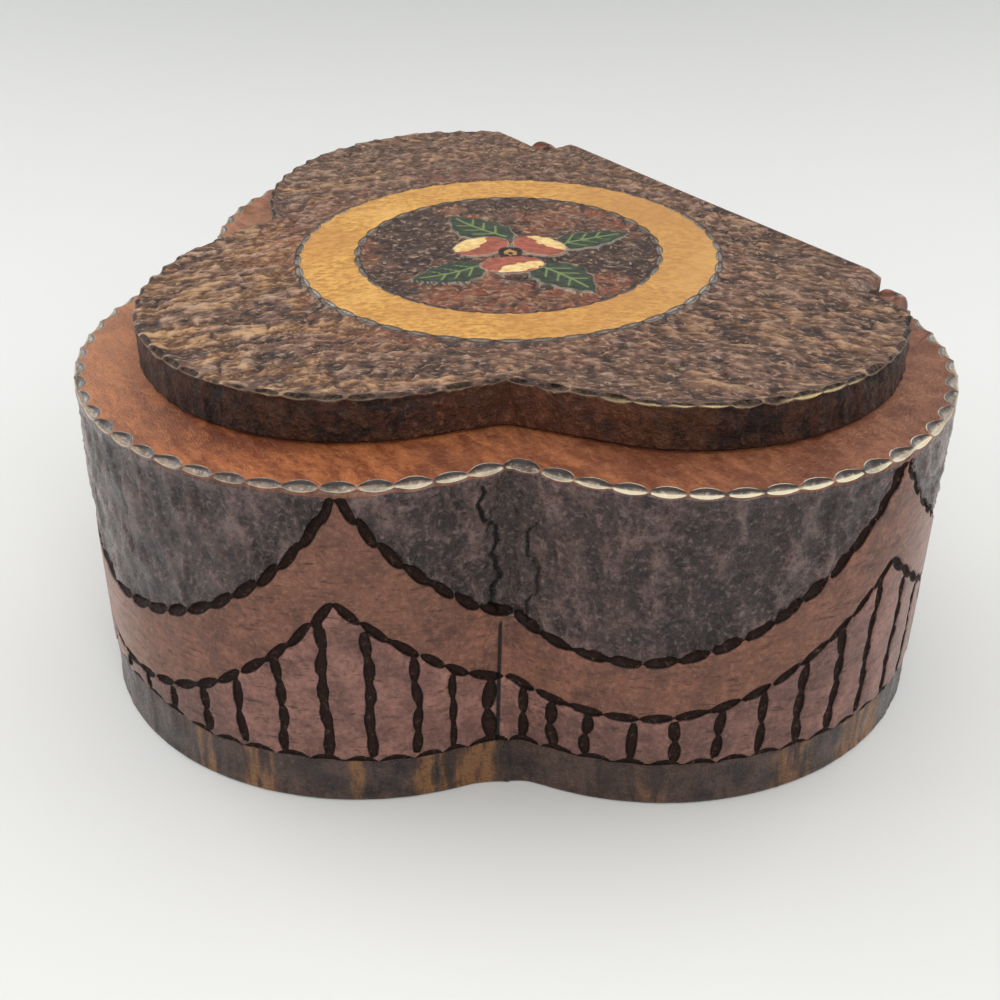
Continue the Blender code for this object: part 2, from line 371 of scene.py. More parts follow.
    # The split in the right notch, with bark-like wrinkles beside it.
    t = np.where(m > GIRTH / 2, m - GIRTH, m)
    line = -4.6 + 2.6 * smooth(50, 41, z) + 0.5 * np.sin(z * 0.9) + 0.25 * np.sin(z * 2.3)
    crack = np.exp(-((t - line) / 0.32) ** 2) * smooth(29.5, 31, z) * (1 - smooth(50, 52, z))
    line2 = 2.9 + 0.9 * np.sin(z * 0.55 + 0.6) + 0.3 * np.sin(z * 1.7)
    crack2 = 0.7 * np.exp(-((t - line2) / 0.3) ** 2) * smooth(27.5, 29, z) * (1 - smooth(44, 47, z))
    patch = smooth(-5.2, -3.4, t) * (1 - smooth(2.6, 3.8, t)) * smooth(28, 31, z) * (1 - smooth(50.5, 52.5, z))
    wrinkle = patch * (0.16 * noise(t / 1.3, z / 1.6, 61) + 0.22 * (0.5 - np.abs(noise(t / 1.1 + z / 3, z / 1.3, 62))))
    seam = np.exp(-((t + 1.3) / 0.24) ** 2) * (1 - smooth(28, 29.5, z)) * smooth(7, 8, z)
    relief = relief - 0.55 * crack - 0.30 * crack2 + wrinkle - 0.25 * seam
    # The foot runs round inside both notches in a soft curve.
    left_notch = np.mod(s - NOTCH_LEFT + GIRTH / 2, GIRTH) - GIRTH / 2
    into = np.minimum(np.abs(t), np.abs(left_notch))
    relief = relief + 1.5 * np.clip(1 - into / 4.8, 0, 1) ** 2 * (1 - smooth(5.0, 10.0, z))
    split = np.clip(crack + crack2 + 0.9 * seam, 0, 1)
    return relief, dict(sd_up=du, sd_low=dl, sd_base=db, cut=inside, split=split,
                        bark=patch, tone=np.where(upper > 0.5, tone, toneb))


# ---- mesh building -------------------------------------------------------------------------


def grid_mesh(name, rings, close_first, close_last, masks):
    """Rings of points joined into one closed skin. A ring has as many points as the one
    before it, or half or twice as many. The first and the last ring are each drawn
    together in one point."""
    verts = np.vstack(rings)
    starts_at = np.concatenate([[0], np.cumsum([len(r) for r in rings])])
    quads, tris = [], []
    for r in range(len(rings) - 1):
        a, b = starts_at[r], starts_at[r + 1]
        na, nb = len(rings[r]), len(rings[r + 1])
        i = np.arange(min(na, nb))
        j = (i + 1) % len(i)
        if na == nb:
            quads.append(np.stack([a + i, a + j, b + j, b + i], 1))
        elif na == 2 * nb:
            low, mid, high = 2 * i, 2 * i + 1, (2 * i + 2) % na
            tris += [np.stack([a + low, a + mid, b + i], 1), np.stack([a + mid, a + high, b + j], 1),
                     np.stack([a + mid, b + j, b + i], 1)]
        else:
            low, mid, high = 2 * i, 2 * i + 1, (2 * i + 2) % nb
            tris += [np.stack([a + i, b + mid, b + low], 1), np.stack([a + i, a + j, b + mid], 1),
                     np.stack([a + j, b + high, b + mid], 1)]
    quads = np.vstack(quads)
    first, last = len(verts), len(verts) + 1
    verts = np.vstack([verts, [close_first], [close_last]])
    i = np.arange(len(rings[0]))
    tris.append(np.stack([np.full(len(i), first), (i + 1) % len(i), i], 1))
    i = np.arange(len(rings[-1]))
    at = starts_at[-2]
    tris.append(np.stack([np.full(len(i), last), at + i, at + (i + 1) % len(i)], 1))
    tris = np.vstack(tris)
    mesh = bpy.data.meshes.new(name)
    mesh.vertices.add(len(verts))
    mesh.vertices.foreach_set("co", verts.ravel())
    loops = np.concatenate([quads.ravel(), tris.ravel()])
    mesh.loops.add(len(loops))
    mesh.loops.foreach_set("vertex_index", loops.astype(np.int32))
    starts = np.concatenate([np.arange(len(quads)) * 4, len(quads) * 4 + np.arange(len(tris)) * 3])
    mesh.polygons.add(len(starts))
    mesh.polygons.foreach_set("loop_start", starts.astype(np.int32))
    mesh.update(calc_edges=True)
    mesh.validate()
    for key, value in masks.items():
        value = np.asarray(value, np.float32)
        if value.ndim == 1:
            layer = mesh.attributes.new(key, "FLOAT", "POINT")
            layer.data.foreach_set("value", value)
        else:
            layer = mesh.attributes.new(key, "FLOAT_VECTOR", "POINT")
            layer.data.foreach_set("vector", value.ravel())
    mesh.polygons.foreach_set("use_smooth", np.ones(len(mesh.polygons), bool))
    obj = bpy.data.objects.new(name, mesh)
    bpy.context.scene.collection.objects.link(obj)
    return obj


def metres(xy, z):
    """Plan millimetres and heights to the part frame."""
    z = np.broadcast_to(z, (len(xy),))
    return np.column_stack([(xy - ORIGIN) / 1000.0, z / 1000.0])


# ---- the box ---------------------------------------------------------------------------------


def wall_columns():
    """Distances along the rim, closer together across each upright row of cuts."""
    marks = [0.0]
    for a, b in zip(LINES, np.append(LINES[1:], LINES[0] + GIRTH)):
        across = [a + o for o in (-1.02, -0.7, -0.35, 0.0, 0.35, 0.7, 1.02)]
        start, end = a + 1.02, b - 1.02
        count = max(1, round((end - start) / 0.64))
        marks += across + list(start + (end - start) * np.arange(1, count) / count)
    marks += list(np.arange(-5.3, 4.1, 0.31))        # close together at the split
    marks = np.unique(np.round(np.mod(np.array(marks), GIRTH), 4))
    keep = [marks[0]]
    for value in marks[1:]:
        if value - keep[-1] > 0.2:
            keep.append(value)
    if GIRTH - keep[-1] < 0.2:
        keep.pop()
    return np.array(keep[:len(keep) // 2 * 2])


def rim_leg(s):
    """Leg of the chain of cuts along the rim's corner, and the phase within a cut."""
    count = round(GIRTH / CUT_PITCH)
    phase = s / GIRTH * count + 0.25
    k = np.floor(phase)
    u = 2 * (phase - k) - 1
    size = 0.82 + 0.36 * lattice(np.mod(k, count), k * 0, 71)
    return 0.16 + 1.0 * size * np.clip(1 - u * u, 0, 1) ** 0.85, u, size


def build_box():
    s = wall_columns()
    n = len(s)
    rim, base, opening = around(RIM, s), below(s), around(OPENING, s)
    step = (around(RIM, s + 0.9) - around(RIM, s - 0.9))
    normal = np.column_stack([step[:, 1], -step[:, 0]])
    normal /= np.hypot(normal[:, 0], normal[:, 1])[:, None]

    zu, ku, _ = swag(s, SWAG_PEAKS, SWAG_LOWS, 52.4, upper_shape)
    zl, kl, _ = swag(s, LOWER_PEAKS, LOWER_LOWS, 35.2, lower_shape)
    zb = bottom_line(s)
    hu = np.minimum(1.25 * np.hypot(1, ku), 2.6)
    hl = np.minimum(1.25 * np.hypot(1, kl), 2.4)
    breaks = [np.full(n, 0.9), zb - 1.2, zb + 1.5, zl - hl, zl + hl, zu - hu, zu + hu,
              np.full(n, 51.6)]
    counts = [3, 8, 14, 8, 8, 8, 34]
    for k in range(len(breaks) - 2, 0, -1):
        breaks[k] = np.minimum(breaks[k], breaks[k + 1] - 0.05 * counts[k])
    for k in range(1, len(breaks)):
        breaks[k] = np.maximum(breaks[k], breaks[k - 1] + 0.05 * counts[k - 1])
    heights = [np.full(n, 0.0), np.full(n, 0.16), np.full(n, 0.45), breaks[0]]
    for k, c in enumerate(counts):
        for i in range(1, c + 1):
            heights.append(breaks[k] + (breaks[k + 1] - breaks[k]) * i / c)

    keys = ("sd_up", "sd_low", "sd_base", "cut", "split", "bark", "tone")
    rings, masks = [], {k: [] for k in keys + ("chip", "place", "where")}

    def put(xy, z, extra=None, chip=None, where=0.0, along=None, take=1):
        rings.append(metres(xy, z)[::take])
        blank = dict(sd_up=-9.0, sd_low=9.0, sd_base=9.0, cut=-3.0, split=0.0, bark=0.0, tone=0.5)
        for key in keys:
            value = extra[key] if extra else blank[key]
            masks[key].append(np.broadcast_to(value, (n,))[::take])
        masks["chip"].append(np.broadcast_to(-1.0 if chip is None else chip, (n,))[::take])
        masks["where"].append(np.broadcast_to(where, (n,))[::take])
        masks["place"].append(np.column_stack([s, np.broadcast_to(z, (n,)),
                                               np.broadcast_to(0.0 if along is None else along, (n,))])[::take])

    # Underside, from its middle outwards.
    hub = np.array([0.0, -8.0])
    for share in (0.30, 0.62, 0.90):
        put(hub + (base - hub) * share, 0.0, where=3.0, take=2)
    put(base - normal * 0.7, 0.0, where=3.0, take=2)

    # Wall.
    for z in heights:
        plan = base + (rim - base) * (z / BODY_TOP)[:, None]
        relief, extra = wall_relief(s, z)
        edge = 0.7 - np.sqrt(np.clip(0.49 - (0.7 - np.minimum(z, 0.7)) ** 2, 0, 0.49))
        fade = 1 - smooth(50.8, 51.6, z) * 0.75
        out = relief * fade - edge
        put(plan + normal * out[:, None], z, extra)

    # Chain of cuts along the corner of the rim.
    leg, u, size = rim_leg(s)
    top_relief, extra = wall_relief(s, np.full(n, 51.6))
    for t in (0.0, 0.14, 0.34, 0.56, 0.8, 1.0):
        hollow = 0.22 * leg * 4 * t * (1 - t)
        inward = 1.34 * leg * t + hollow * 0.3
        z = BODY_TOP - 0.60 * leg * (1 - t) - hollow
        z = np.maximum(z, 51.63)
        put(rim + normal * (-0.06 * (1 - t) - inward)[:, None], z, chip=np.full(n, t), along=leg)
    # Flat rim, in to the opening.
    outer = rim - normal * (1.34 * leg)[:, None]
    inner = opening
    for share in (0.03, 0.10, 0.25, 0.5, 0.75, 0.93):
        flat = outer + (inner - outer) * share
        sag = 0.05 * noise(flat[:, 0] / 9, flat[:, 1] / 9, 81) - 0.05
        put(flat, BODY_TOP + sag * smooth(0, 0.2, share), where=1.0, take=1 if share < 0.2 else 2)
    put(inner + (outer - inner) * 0.03, BODY_TOP - 0.05, where=1.0, take=2)
    put(inner, BODY_TOP - 0.55, where=2.0, take=2)
    # Inside wall and floor.
    for z in (BODY_TOP - 1.6, 44.0, 34.0, 24.0, 14.0, FLOOR_Z + 1.6, FLOOR_Z + 0.45):
        gouge = 0.25 * noise(s / GIRTH * 130, np.full(n, z / 16), 91, wrap=130)
        pull = 0.0 if z > FLOOR_Z + 1 else 0.5
        direction = (hub - inner)
        direction /= np.hypot(direction[:, 0], direction[:, 1])[:, None]
        put(inner + direction * (0.15 - 0.15 * gouge + pull)[:, None], z, where=2.0, take=2)
    for share in (0.96, 0.8, 0.6, 0.4, 0.2):
        spot = hub + (inner - hub) * share
        gouge = 0.16 * noise(spot[:, 0] / 5, spot[:, 1] / 5, 93)
        put(spot, FLOOR_Z + 0.12 + gouge * (share < 0.9), where=2.0, take=2)

    ring_masks = {}
    for key, value in masks.items():
        stacked = np.vstack(value) if key == "place" else np.concatenate(value)
        if key == "place":
            ends = np.array([[0, 0, 0], [0, FLOOR_Z, 0]])
            ring_masks[key] = np.vstack([stacked, ends])
        else:
            blank = dict(sd_up=-9.0, sd_low=9.0, sd_base=9.0, cut=-3.0, chip=-1.0, tone=0.5).get(key, 0.0)
            ends = [3.0, 2.0] if key == "where" else [blank, blank]
            ring_masks[key] = np.concatenate([stacked, ends])
    hub_m = (hub - ORIGIN) / 1000.0
    return grid_mesh("carved_box", rings, (*hub_m, 0.0), (*hub_m, (FLOOR_Z + 0.12) / 1000.0), ring_masks)


def build_ear(name, x0, x1, seed):
    """An upright ear with a half-round top, its corners rubbed round."""
    half = (x1 - x0) / 2
    middle = (x0 + x1) / 2
    turns = 56
    rings = []
    profile = []
    foot = 3.3 + 2.4
    for k in range(turns):
        a = 2 * math.pi * k / turns
        y, z = math.cos(a) * EAR_R, math.sin(a) * EAR_R
        if z < 0:
            # Below the axis the section is a straight upright.
            side = 1 if y > 0 else -1
            t = abs(a - 1.5 * math.pi) / (0.5 * math.pi)
            y = side * EAR_R * min(1.0, (1 - (1 - t)) * 1.6)
            z = -foot * min(1.0, (1 - t) * 1.9)
        profile.append((y, z))
    profile = np.array(profile)
    for t, shrink in ((-1.0, 0.55), (-0.97, 0.28), (-0.86, 0.07), (-0.6, 0.0), (0.0, 0.0), (0.6, 0.0),
                      (0.86, 0.07), (0.97, 0.28), (1.0, 0.55)):
        scale = 1 - shrink / EAR_R
        wobble = 0.07 * noise(np.arange(turns) / 7.0, np.full(turns, t * 2.0 + seed), seed, wrap=8)
        y = HINGE_Y + profile[:, 0] * scale * (1 + wobble / EAR_R * (np.abs(profile[:, 1]) < 3.2))
        z = HINGE_Z + np.where(profile[:, 1] > 0, profile[:, 1] * scale, profile[:, 1]) - 0.15
        x = np.full(turns, middle + t * half)
        rings.append(metres(np.column_stack([x, y]), z))
    a = metres(np.array([[x0 + 0.02, HINGE_Y]]), HINGE_Z)[0]
    b = metres(np.array([[x1 - 0.02, HINGE_Y]]), HINGE_Z)[0]
    return grid_mesh(name, [r[::-1] for r in rings], a, b, {})


# ---- the lid ---------------------------------------------------------------------------------


def lid_outline():
    """Points anticlockwise round the lid with the rear bar, and the running distance."""
    p = outline_pieces(LID)
    path = []

    def line(a, b, step=0.42):
        count = max(1, round(float(np.hypot(*(b - a))) / step))
        path.extend(a + (b - a) * i / count for i in range(count))

    def arc(centre, radius, a0, a1, step=0.46):
        count = max(3, round(abs(math.radians(a1 - a0)) * radius / step))
        for i in range(count):
            path.append(np.array(centre) + polar(radius, a0 + (a1 - a0) * i / count))

    line(p[0][1], p[0][2])
    arc(p[1][1][:2], p[1][1][2], p[1][2], p[1][3])
    right_cut = p[2][1]
    left_cut = p[2][2]
    rear = HINGE_Y + BAR_R
    rx, lx = BAR_X[1], BAR_X[0]
    near, far = 2.4, 3.6                       # the bar's ends are worn round in plan
    inner = 1.1
    line(right_cut, np.array([rx + inner, 34.7]), 0.3)
    arc((rx + inner, 34.7 + inner), inner, 270, 180, 0.25)
    line(np.array([rx, 34.7 + inner]), np.array([rx, rear - near]), 0.3)
    arc((rx - near, rear - near), near, 0, 90, 0.25)
    line(np.array([rx - near, rear]), np.array([lx + far, rear]), 0.5)
    arc((lx + far, rear - far), far, 90, 180, 0.25)
    line(np.array([lx, rear - far]), np.array([lx, 34.7 + inner]), 0.3)
    arc((lx - inner, 34.7 + inner), inner, 0, -90, 0.25)
    line(np.array([lx - inner, 34.7]), left_cut, 0.3)
    arc(p[3][1][:2], p[3][1][2], p[3][2], p[3][3])
    line(p[4][1], p[4][2])
    line(p[5][1], p[5][2])
    arc(p[6][1][:2], p[6][1][2], p[6][2], p[6][3])
    line(p[7][1], p[7][2])
    pts = np.array(path)
    gaps = np.hypot(*(np.roll(pts, -1, 0) - pts).T)
    run = np.concatenate([[0], np.cumsum(gaps)])
    return pts, run[:-1], float(run[-1])


def top_height(y):
    """The lid's top: flat, then rounded down along the back of the bar."""
    over = np.clip(y - (HINGE_Y + BAR_R - BAR_TOP_R), 0, BAR_TOP_R)
    return LID_TOP - BAR_TOP_R + np.sqrt(np.maximum(BAR_TOP_R ** 2 - over ** 2, 0))


def under_height(y):
    over = np.clip(y - HINGE_Y, 0, BAR_R)
    return HINGE_Z - np.sqrt(np.maximum(BAR_R ** 2 - over ** 2, 0))


RING_OUT, RING_IN = 33.2, 23.9       # centre lines of the two round chains of cuts


def ellipse(x, y, cx, cy, a, b, turn):
    """Signed distance, roughly, to an ellipse: negative inside."""
    t = math.radians(turn)
    px, py = x - cx, y - cy
    u, v = px * math.cos(t) + py * math.sin(t), -px * math.sin(t) + py * math.cos(t)
    q = np.hypot(u / a, v / b)
    return (q - 1) * q / np.maximum(np.hypot(u / a ** 2, v / b ** 2), 1e-4) * 1.0


def leaf(x, y, base, tip, width, bend=0.0, belly=0.42):
    """A pointed leaf from base to tip: signed distance, share along it, and the offset
    from its midrib."""
    base, tip = np.array(base), np.array(tip)
    along = tip - base
    length = float(np.hypot(*along))
    along /= length
    px, py = x - base[0], y - base[1]
    u = (px * along[0] + py * along[1]) / length
    v = -px * along[1] + py * along[0]
    v = v - bend * np.sin(np.clip(u, 0, 1) * math.pi)
    w = np.clip(u, 1e-4, 1 - 1e-4)
    power = math.log(0.5) / math.log(belly)
    half = width * np.sin(math.pi * w ** power) ** 0.85 * (1 + 0.07 * np.sin(w * 30))
    sd = np.abs(v) - half
    sd = np.where(u < 0, np.maximum(sd, -u * length), sd)
    sd = np.where(u > 1, np.maximum(sd, (u - 1) * length), sd)
    return sd, u, v


def flower(x, y):
    """The little folk flower: three petals, four leaves. x runs right and y away in the
    photo's view, in millimetres from the disc's centre."""
    petals = [
        (ellipse(x, y, -4.3, 2.1, 4.9, 3.7, 38), ellipse(x, y, -6.3, 3.4, 4.4, 2.3, 62)),
        (ellipse(x, y, 4.9, 2.2, 4.9, 3.6, -42), ellipse(x, y, 6.5, 3.7, 4.6, 1.7, -50)),
        (ellipse(x, y, 0.6, -5.5, 5.0, 3.3, 6), ellipse(x, y, 1.9, -6.9, 4.2, 1.5, 28)),
    ]
    sd_petal = np.full_like(x, 9.0)
    sd_cream = np.full_like(x, 9.0)
    edge = np.full_like(x, 9.0)
    for body, cream in petals:
        body = body + 0.16 * noise(x / 1.1, y / 1.1, 101)
        cream = cream + 0.45 * noise(x / 0.8, y / 0.8, 102)
        sd_petal = np.minimum(sd_petal, body)
        sd_cream = np.minimum(sd_cream, np.maximum(cream, body + 0.15))
        edge = np.minimum(edge, np.abs(body))
    leaves = [leaf(x, y, (0.6, 5.2), (-9.6, 15.6), 4.1, 0.8),
              leaf(x, y, (6.6, 1.6), (19.6, 7.2), 3.3, 0.3),
              leaf(x, y, (-3.2, -5.0), (-15.0, -11.4), 3.9, 0.9),
              leaf(x, y, (3.6, -5.2), (12.8, -16.4), 4.2, 0.5)]
    sd_leaf = np.full_like(x, 9.0)
    vein = np.full_like(x, 9.0)
    for k, (sd, u, v) in enumerate(leaves):
        sd_leaf = np.minimum(sd_leaf, sd)
        edge_leaf = np.abs(sd)
        edge = np.minimum(edge, np.where(sd_petal < 0.1, 9.0, edge_leaf))
        rib = np.abs(v) - 0.16
        for q in (0.22, 0.4, 0.58):
            side = np.abs((u - q) * 13.0 - np.abs(v) * 0.85) - 0.18
            side = np.where(np.abs(v) > 3.0 * (1 - q * 0.5), 9.0, side)
            rib = np.minimum(rib, side)
        rib = np.where((u < 0.05) | (u > 0.9), 9.0, rib)
        vein = np.minimum(vein, np.where(sd < -0.25, rib, 9.0))
    centre = np.hypot(x - 0.3, (y + 0.3))
    return sd_petal, sd_cream, sd_leaf, vein, edge, centre


def lid_relief(x, y, run=None):
    """Height of the worked top below its own plane, in millimetres, with the masks."""
    r = np.hypot(x, y)
    turn = np.arctan2(y, x)
    c, sn = math.cos(VIEW_TURN), math.sin(VIEW_TURN)
    px, py = x * c + y * sn, -x * sn + y * c         # the photo's own right and away
    out_count, in_count = 47, 34
    po = turn / (2 * math.pi) * out_count
    pi_ = turn / (2 * math.pi) * in_count + 0.3
    d_out, i_out = lens(po, r - RING_OUT, 0.66, end=1.0)
    d_in, i_in = lens(pi_, r - RING_IN, 0.60, end=1.0)

    sd_petal, sd_cream, sd_leaf, vein, edge, centre = flower(px, py)
    picture = 1 - smooth(0.0, 0.5, np.minimum(sd_petal, sd_leaf))
    field = smooth(RING_OUT + 0.1, RING_OUT + 1.0, r) + 1 - smooth(RING_IN - 1.0, RING_IN - 0.1, r)
    field = np.clip(field, 0, 1) * (1 - picture)

    # Gouge marks laid like scales, longer across the photo's view.
    wx = px + 1.1 * noise(px / 7, py / 7, 111)
    wy = py + 1.0 * noise(px / 6, py / 6, 112) + 0.004 * px * px + 0.04 * px
    f1, f2, tone = scoops(wx / 4.6, wy / 2.7, 113)
    g1, g2, _ = scoops(wx / 2.3 + 5, wy / 1.45, 115)
    ridge = np.clip(f2 - f1, 0, 1)
    scale = (wy / 2.7 - np.floor(wy / 2.7))
    # Sharp little crests between the strokes, running across and wandering.
    ripple = 1 - np.abs(noise(wx / 3.6, wy / 1.35, 116))
    ripple2 = 1 - np.abs(noise(wx / 1.9 + 7, wy / 0.95 + 3, 119))
    texture = (-0.20 * (1 - np.clip(f1 * 1.25, 0, 1) ** 2)
               - 0.10 * (1 - np.clip(g1 * 1.2, 0, 1) ** 2)
               + 0.20 * (ripple ** 2 - 0.6) + 0.26 * (ripple2 ** 2 - 0.6)
               - 0.30 * (1 - smooth(0, 0.17, np.abs(noise(wx / 5.4 + 3, wy / 3.0, 120))))
               - 0.14 * (1 - smooth(0, 0.24, np.abs(noise(wx / 2.6, wy / 1.5 + 9, 122))))
               + 0.10 * noise(px / 0.9, py / 0.7, 117)
               + 0.14 * noise(px / 9, py / 6, 118))
    crest = np.clip(1.0 - ridge * 2.2, 0, 1)
    texture = texture + 0.06 * crest
    relief = field * (-0.26 + texture) - 0.50 * d_out - 0.45 * d_in
    relief = relief + picture * (-0.06) - 0.16 * np.exp(-(edge / 0.26) ** 2) * (sd_petal < 1.0)
    relief = relief - 0.16 * np.exp(-(edge / 0.26) ** 2) * (sd_leaf < 0.6)
    # How high a point sits on the gouge texture; the finish darkens hollows and lightens crests from it, partly as
    # painted shade and sheen.
    height = np.clip(0.52 + (texture + 0.19 - 0.14 * noise(px / 9, py / 6, 118)) * 1.7, 0, 1)
    inside = np.maximum(i_out, i_in)
    return relief, dict(cut=inside, high=height, tone=tone, petal=sd_petal, cream=sd_cream, leaf=sd_leaf,
                        vein=vein, edge=edge, heart=centre)


def build_lid():
    pts, run, girth = lid_outline()
    n = len(pts) // 4 * 4
    pts, run = pts[:n], run[:n]
    prev, nxt = np.roll(pts, 2, 0), np.roll(pts, -2, 0)
    step = nxt - prev
    normal = np.column_stack([step[:, 1], -step[:, 0]])
    normal /= np.hypot(normal[:, 0], normal[:, 1])[:, None]
    angle = np.arctan2(pts[:, 1], pts[:, 0])
    ray = np.column_stack([np.cos(angle), np.sin(angle)])
    reach = np.hypot(pts[:, 0], pts[:, 1])
    bar = smooth(33.9, 35.6, pts[:, 1])              # 1 along the rear bar

    # Cuts along the upper edge: small, uneven, none on the bar's rounded back.
    count = round(girth / 4.3)
    phase = run / girth * count
    k = np.floor(phase)
    u = 2 * (phase - k) - 1
    size = 0.25 + 0.85 * lattice(np.mod(k, count), k * 0, 121)
    leg = 0.12 + 0.66 * size * np.clip(1 - u * u, 0, 1) ** 0.8
    leg = leg * (1 - bar) + 0.12 * bar

    names = ("cut", "high", "tone", "petal", "cream", "leaf", "vein", "edge", "heart")
    blank = dict(cut=-3.0, high=0.5, tone=0.5, petal=9.0, cream=9.0, leaf=9.0, vein=9.0, edge=9.0, heart=9.0)
    rings, masks = [], {key: [] for key in names + ("chip", "side", "place")}

    def put(xy, z, extra=None, chip=-1.0, side=0.0, take=1, cut_leg=0.0):
        rings.append(metres(xy, z)[::take])
        for key in names:
            masks[key].append(np.broadcast_to(extra[key] if extra else blank[key], (n,))[::take])
        masks["chip"].append(np.broadcast_to(chip, (n,))[::take])
        masks["side"].append(np.broadcast_to(side, (n,))[::take])
        masks["place"].append(np.column_stack([run, np.broadcast_to(z, (n,)),
                                               np.broadcast_to(cut_leg, (n,))])[::take])

    def top_point(xy, fade=None):
        relief, extra = lid_relief(xy[:, 0], xy[:, 1])
        if fade is not None:
            relief = relief * fade
        # The round back of the bar keeps its shape, and its ends are rounded over.
        relief = relief * (1 - smooth(38.6, 40.2, xy[:, 1]) * 0.75)
        return np.minimum(top_height(xy[:, 1]) + relief, LID_TOP) - end_drop(xy), extra

    def end_drop(xy):
        """How far the ends of the rear bar are rounded down."""
        to_end = np.minimum(BAR_X[1] - xy[:, 0], xy[:, 0] - BAR_X[0])
        gone = np.clip(2.6 - to_end, 0, 2.6)
        return (2.6 - np.sqrt(np.clip(2.6 ** 2 - gone ** 2, 0, None))) * 0.8 * smooth(33.6, 36.4, xy[:, 1])

    # Top, from the middle outwards.
    radii = list(np.linspace(0.35, 20.4, 48)) + [21.2, 22.0]
    radii += [22.7, 23.0, 23.3, 23.6, 23.9, 24.2, 24.5, 24.8, 25.4]
    radii += [27.0, 29.0, 31.0, 31.9]
    radii += [32.3, 32.6, 32.9, 33.2, 33.5, 33.8, 34.1, 34.5]
    for r in radii:
        xy = ray * r
        z, extra = top_point(xy)
        put(xy, z, extra, take=4 if r < 9.5 else 2 if r < 21.5 else 1)
    # From the round chain out to the edge: fine steps again close to the edge.
    inner_r = 34.5
    edge_in = 1.1 + 0 * reach
    outer_r = reach - edge_in * (1 + 0.35 * bar)
    shares = np.linspace(0, 1, 51)[1:]
    for share in shares:
        r = inner_r + (outer_r - inner_r) * share
        xy = ray * r[:, None]
        z, extra = top_point(xy, fade=0.3 + 0.7 * smooth(0.0, 1.6, outer_r - r))
        put(xy, z, extra)
    # Corner cuts.
    edge_plan = pts
    scallop = 0.22 * size * np.clip(1 - u * u, 0, 1) * (1 - bar)
    edge_plan = pts - normal * scallop[:, None]
    leg_in = np.minimum(1.35 * leg, 1.05)
    zt, extra = top_point(edge_plan - normal * leg_in[:, None], fade=0.3)
    zt = zt - 0.03
    for t in (1.0, 0.72, 0.45, 0.2, 0.0):
        hollow = 0.15 * leg * 4 * t * (1 - t)
        xy = edge_plan - normal * (leg_in * t + hollow * 0.7)[:, None]
        ceiling = top_height(xy[:, 1]) - end_drop(xy)
        z = np.minimum(zt - leg * (1 - t) - hollow * 0.7, ceiling)
        on_bar = np.minimum(ceiling, top_height(edge_plan[:, 1]) - end_drop(edge_plan) + 0.12 * t)
        z = z * (1 - bar) + on_bar * bar
        put(xy, z, extra, chip=t * (1 - bar) - bar, side=0.5, cut_leg=leg)
    top_edge = zt - leg
    top_edge = top_edge * (1 - bar) + (top_height(edge_plan[:, 1]) - end_drop(edge_plan)) * bar
    # Side.
    low = under_height(edge_plan[:, 1])
    for share in (0.07, 0.2, 0.35, 0.5, 0.65, 0.8, 0.92, 1.0):
        z = top_edge + (low + 0.35 * (1 - bar) - top_edge) * share
        f1, f2, tone = scoops(run / girth * 110, z / 6.0, 131, wrap=110)
        chop = 1 - np.abs(noise(run / girth * 230 + 0.12 * z, z / 4.0, 134, wrap=230))
        dent = (-0.2 * (1 - np.clip(f1 * 1.3, 0, 1) ** 2) + 0.3 * (chop ** 2 - 0.75)
                + 0.09 * noise(run / girth * 360, z / 1.5, 133, wrap=360))
        dent = dent * (1 - 0.8 * bar)
        put(edge_plan + normal * np.minimum(dent, 0.0)[:, None], z, side=1.0)
    # Underside.
    for inset in (0.35, 0.9, 1.6, 2.6, 3.6):
        r = reach - inset
        xy = ray * r[:, None]
        xy = np.where((inset < 0.5), edge_plan - normal * inset, xy)
        put(xy, under_height(xy[:, 1]), side=2.0)
    for share in (0.84, 0.62, 0.4, 0.2):
        xy = ray * ((reach - 3.6) * share)[:, None]
        put(xy, under_height(xy[:, 1]), side=2.0)

    final = {}
    for key, value in masks.items():
        if key == "place":
            final[key] = np.vstack(value + [np.zeros((2, 3))])
        else:
            ends = [0.0, 0.0]
            if key == "side":
                ends = [0.0, 2.0]
            elif key in blank:
                ends = [blank[key], blank[key]]
                if key == "heart":
                    ends = [0.4, 9.0]
            elif key == "chip":
                ends = [-1.0, -1.0]
            final[key] = np.concatenate(value + [np.array(ends)])
    zc, centre_extra = lid_relief(np.array([0.0]), np.array([0.0]))
    for key in ("petal", "cream", "leaf", "vein", "edge", "heart"):
        final[key][-2] = float(centre_extra[key][0])
    a = metres(np.array([[0.0, 0.0]]), LID_TOP + float(zc[0]))[0]
    b = metres(np.array([[0.0, 0.0]]), LID_BOTTOM)[0]
    rings = [r for r in rings]
    return grid_mesh("carved_lid", rings, a, b, final)


def face_outwards(obj):
    """Turns every face the same way, outwards."""
    import bmesh
    work = bmesh.new()
    work.from_mesh(obj.data)
    bmesh.ops.recalc_face_normals(work, faces=work.faces)
    work.to_mesh(obj.data)
    work.free()


# ---- finishes ------------------------------------------------------------------------------------


def linear(r, g, b):
    def one(v):
        v /= 255.0
        return v / 12.92 if v <= 0.04045 else ((v + 0.055) / 1.055) ** 2.4
    return (one(r), one(g), one(b), 1.0)


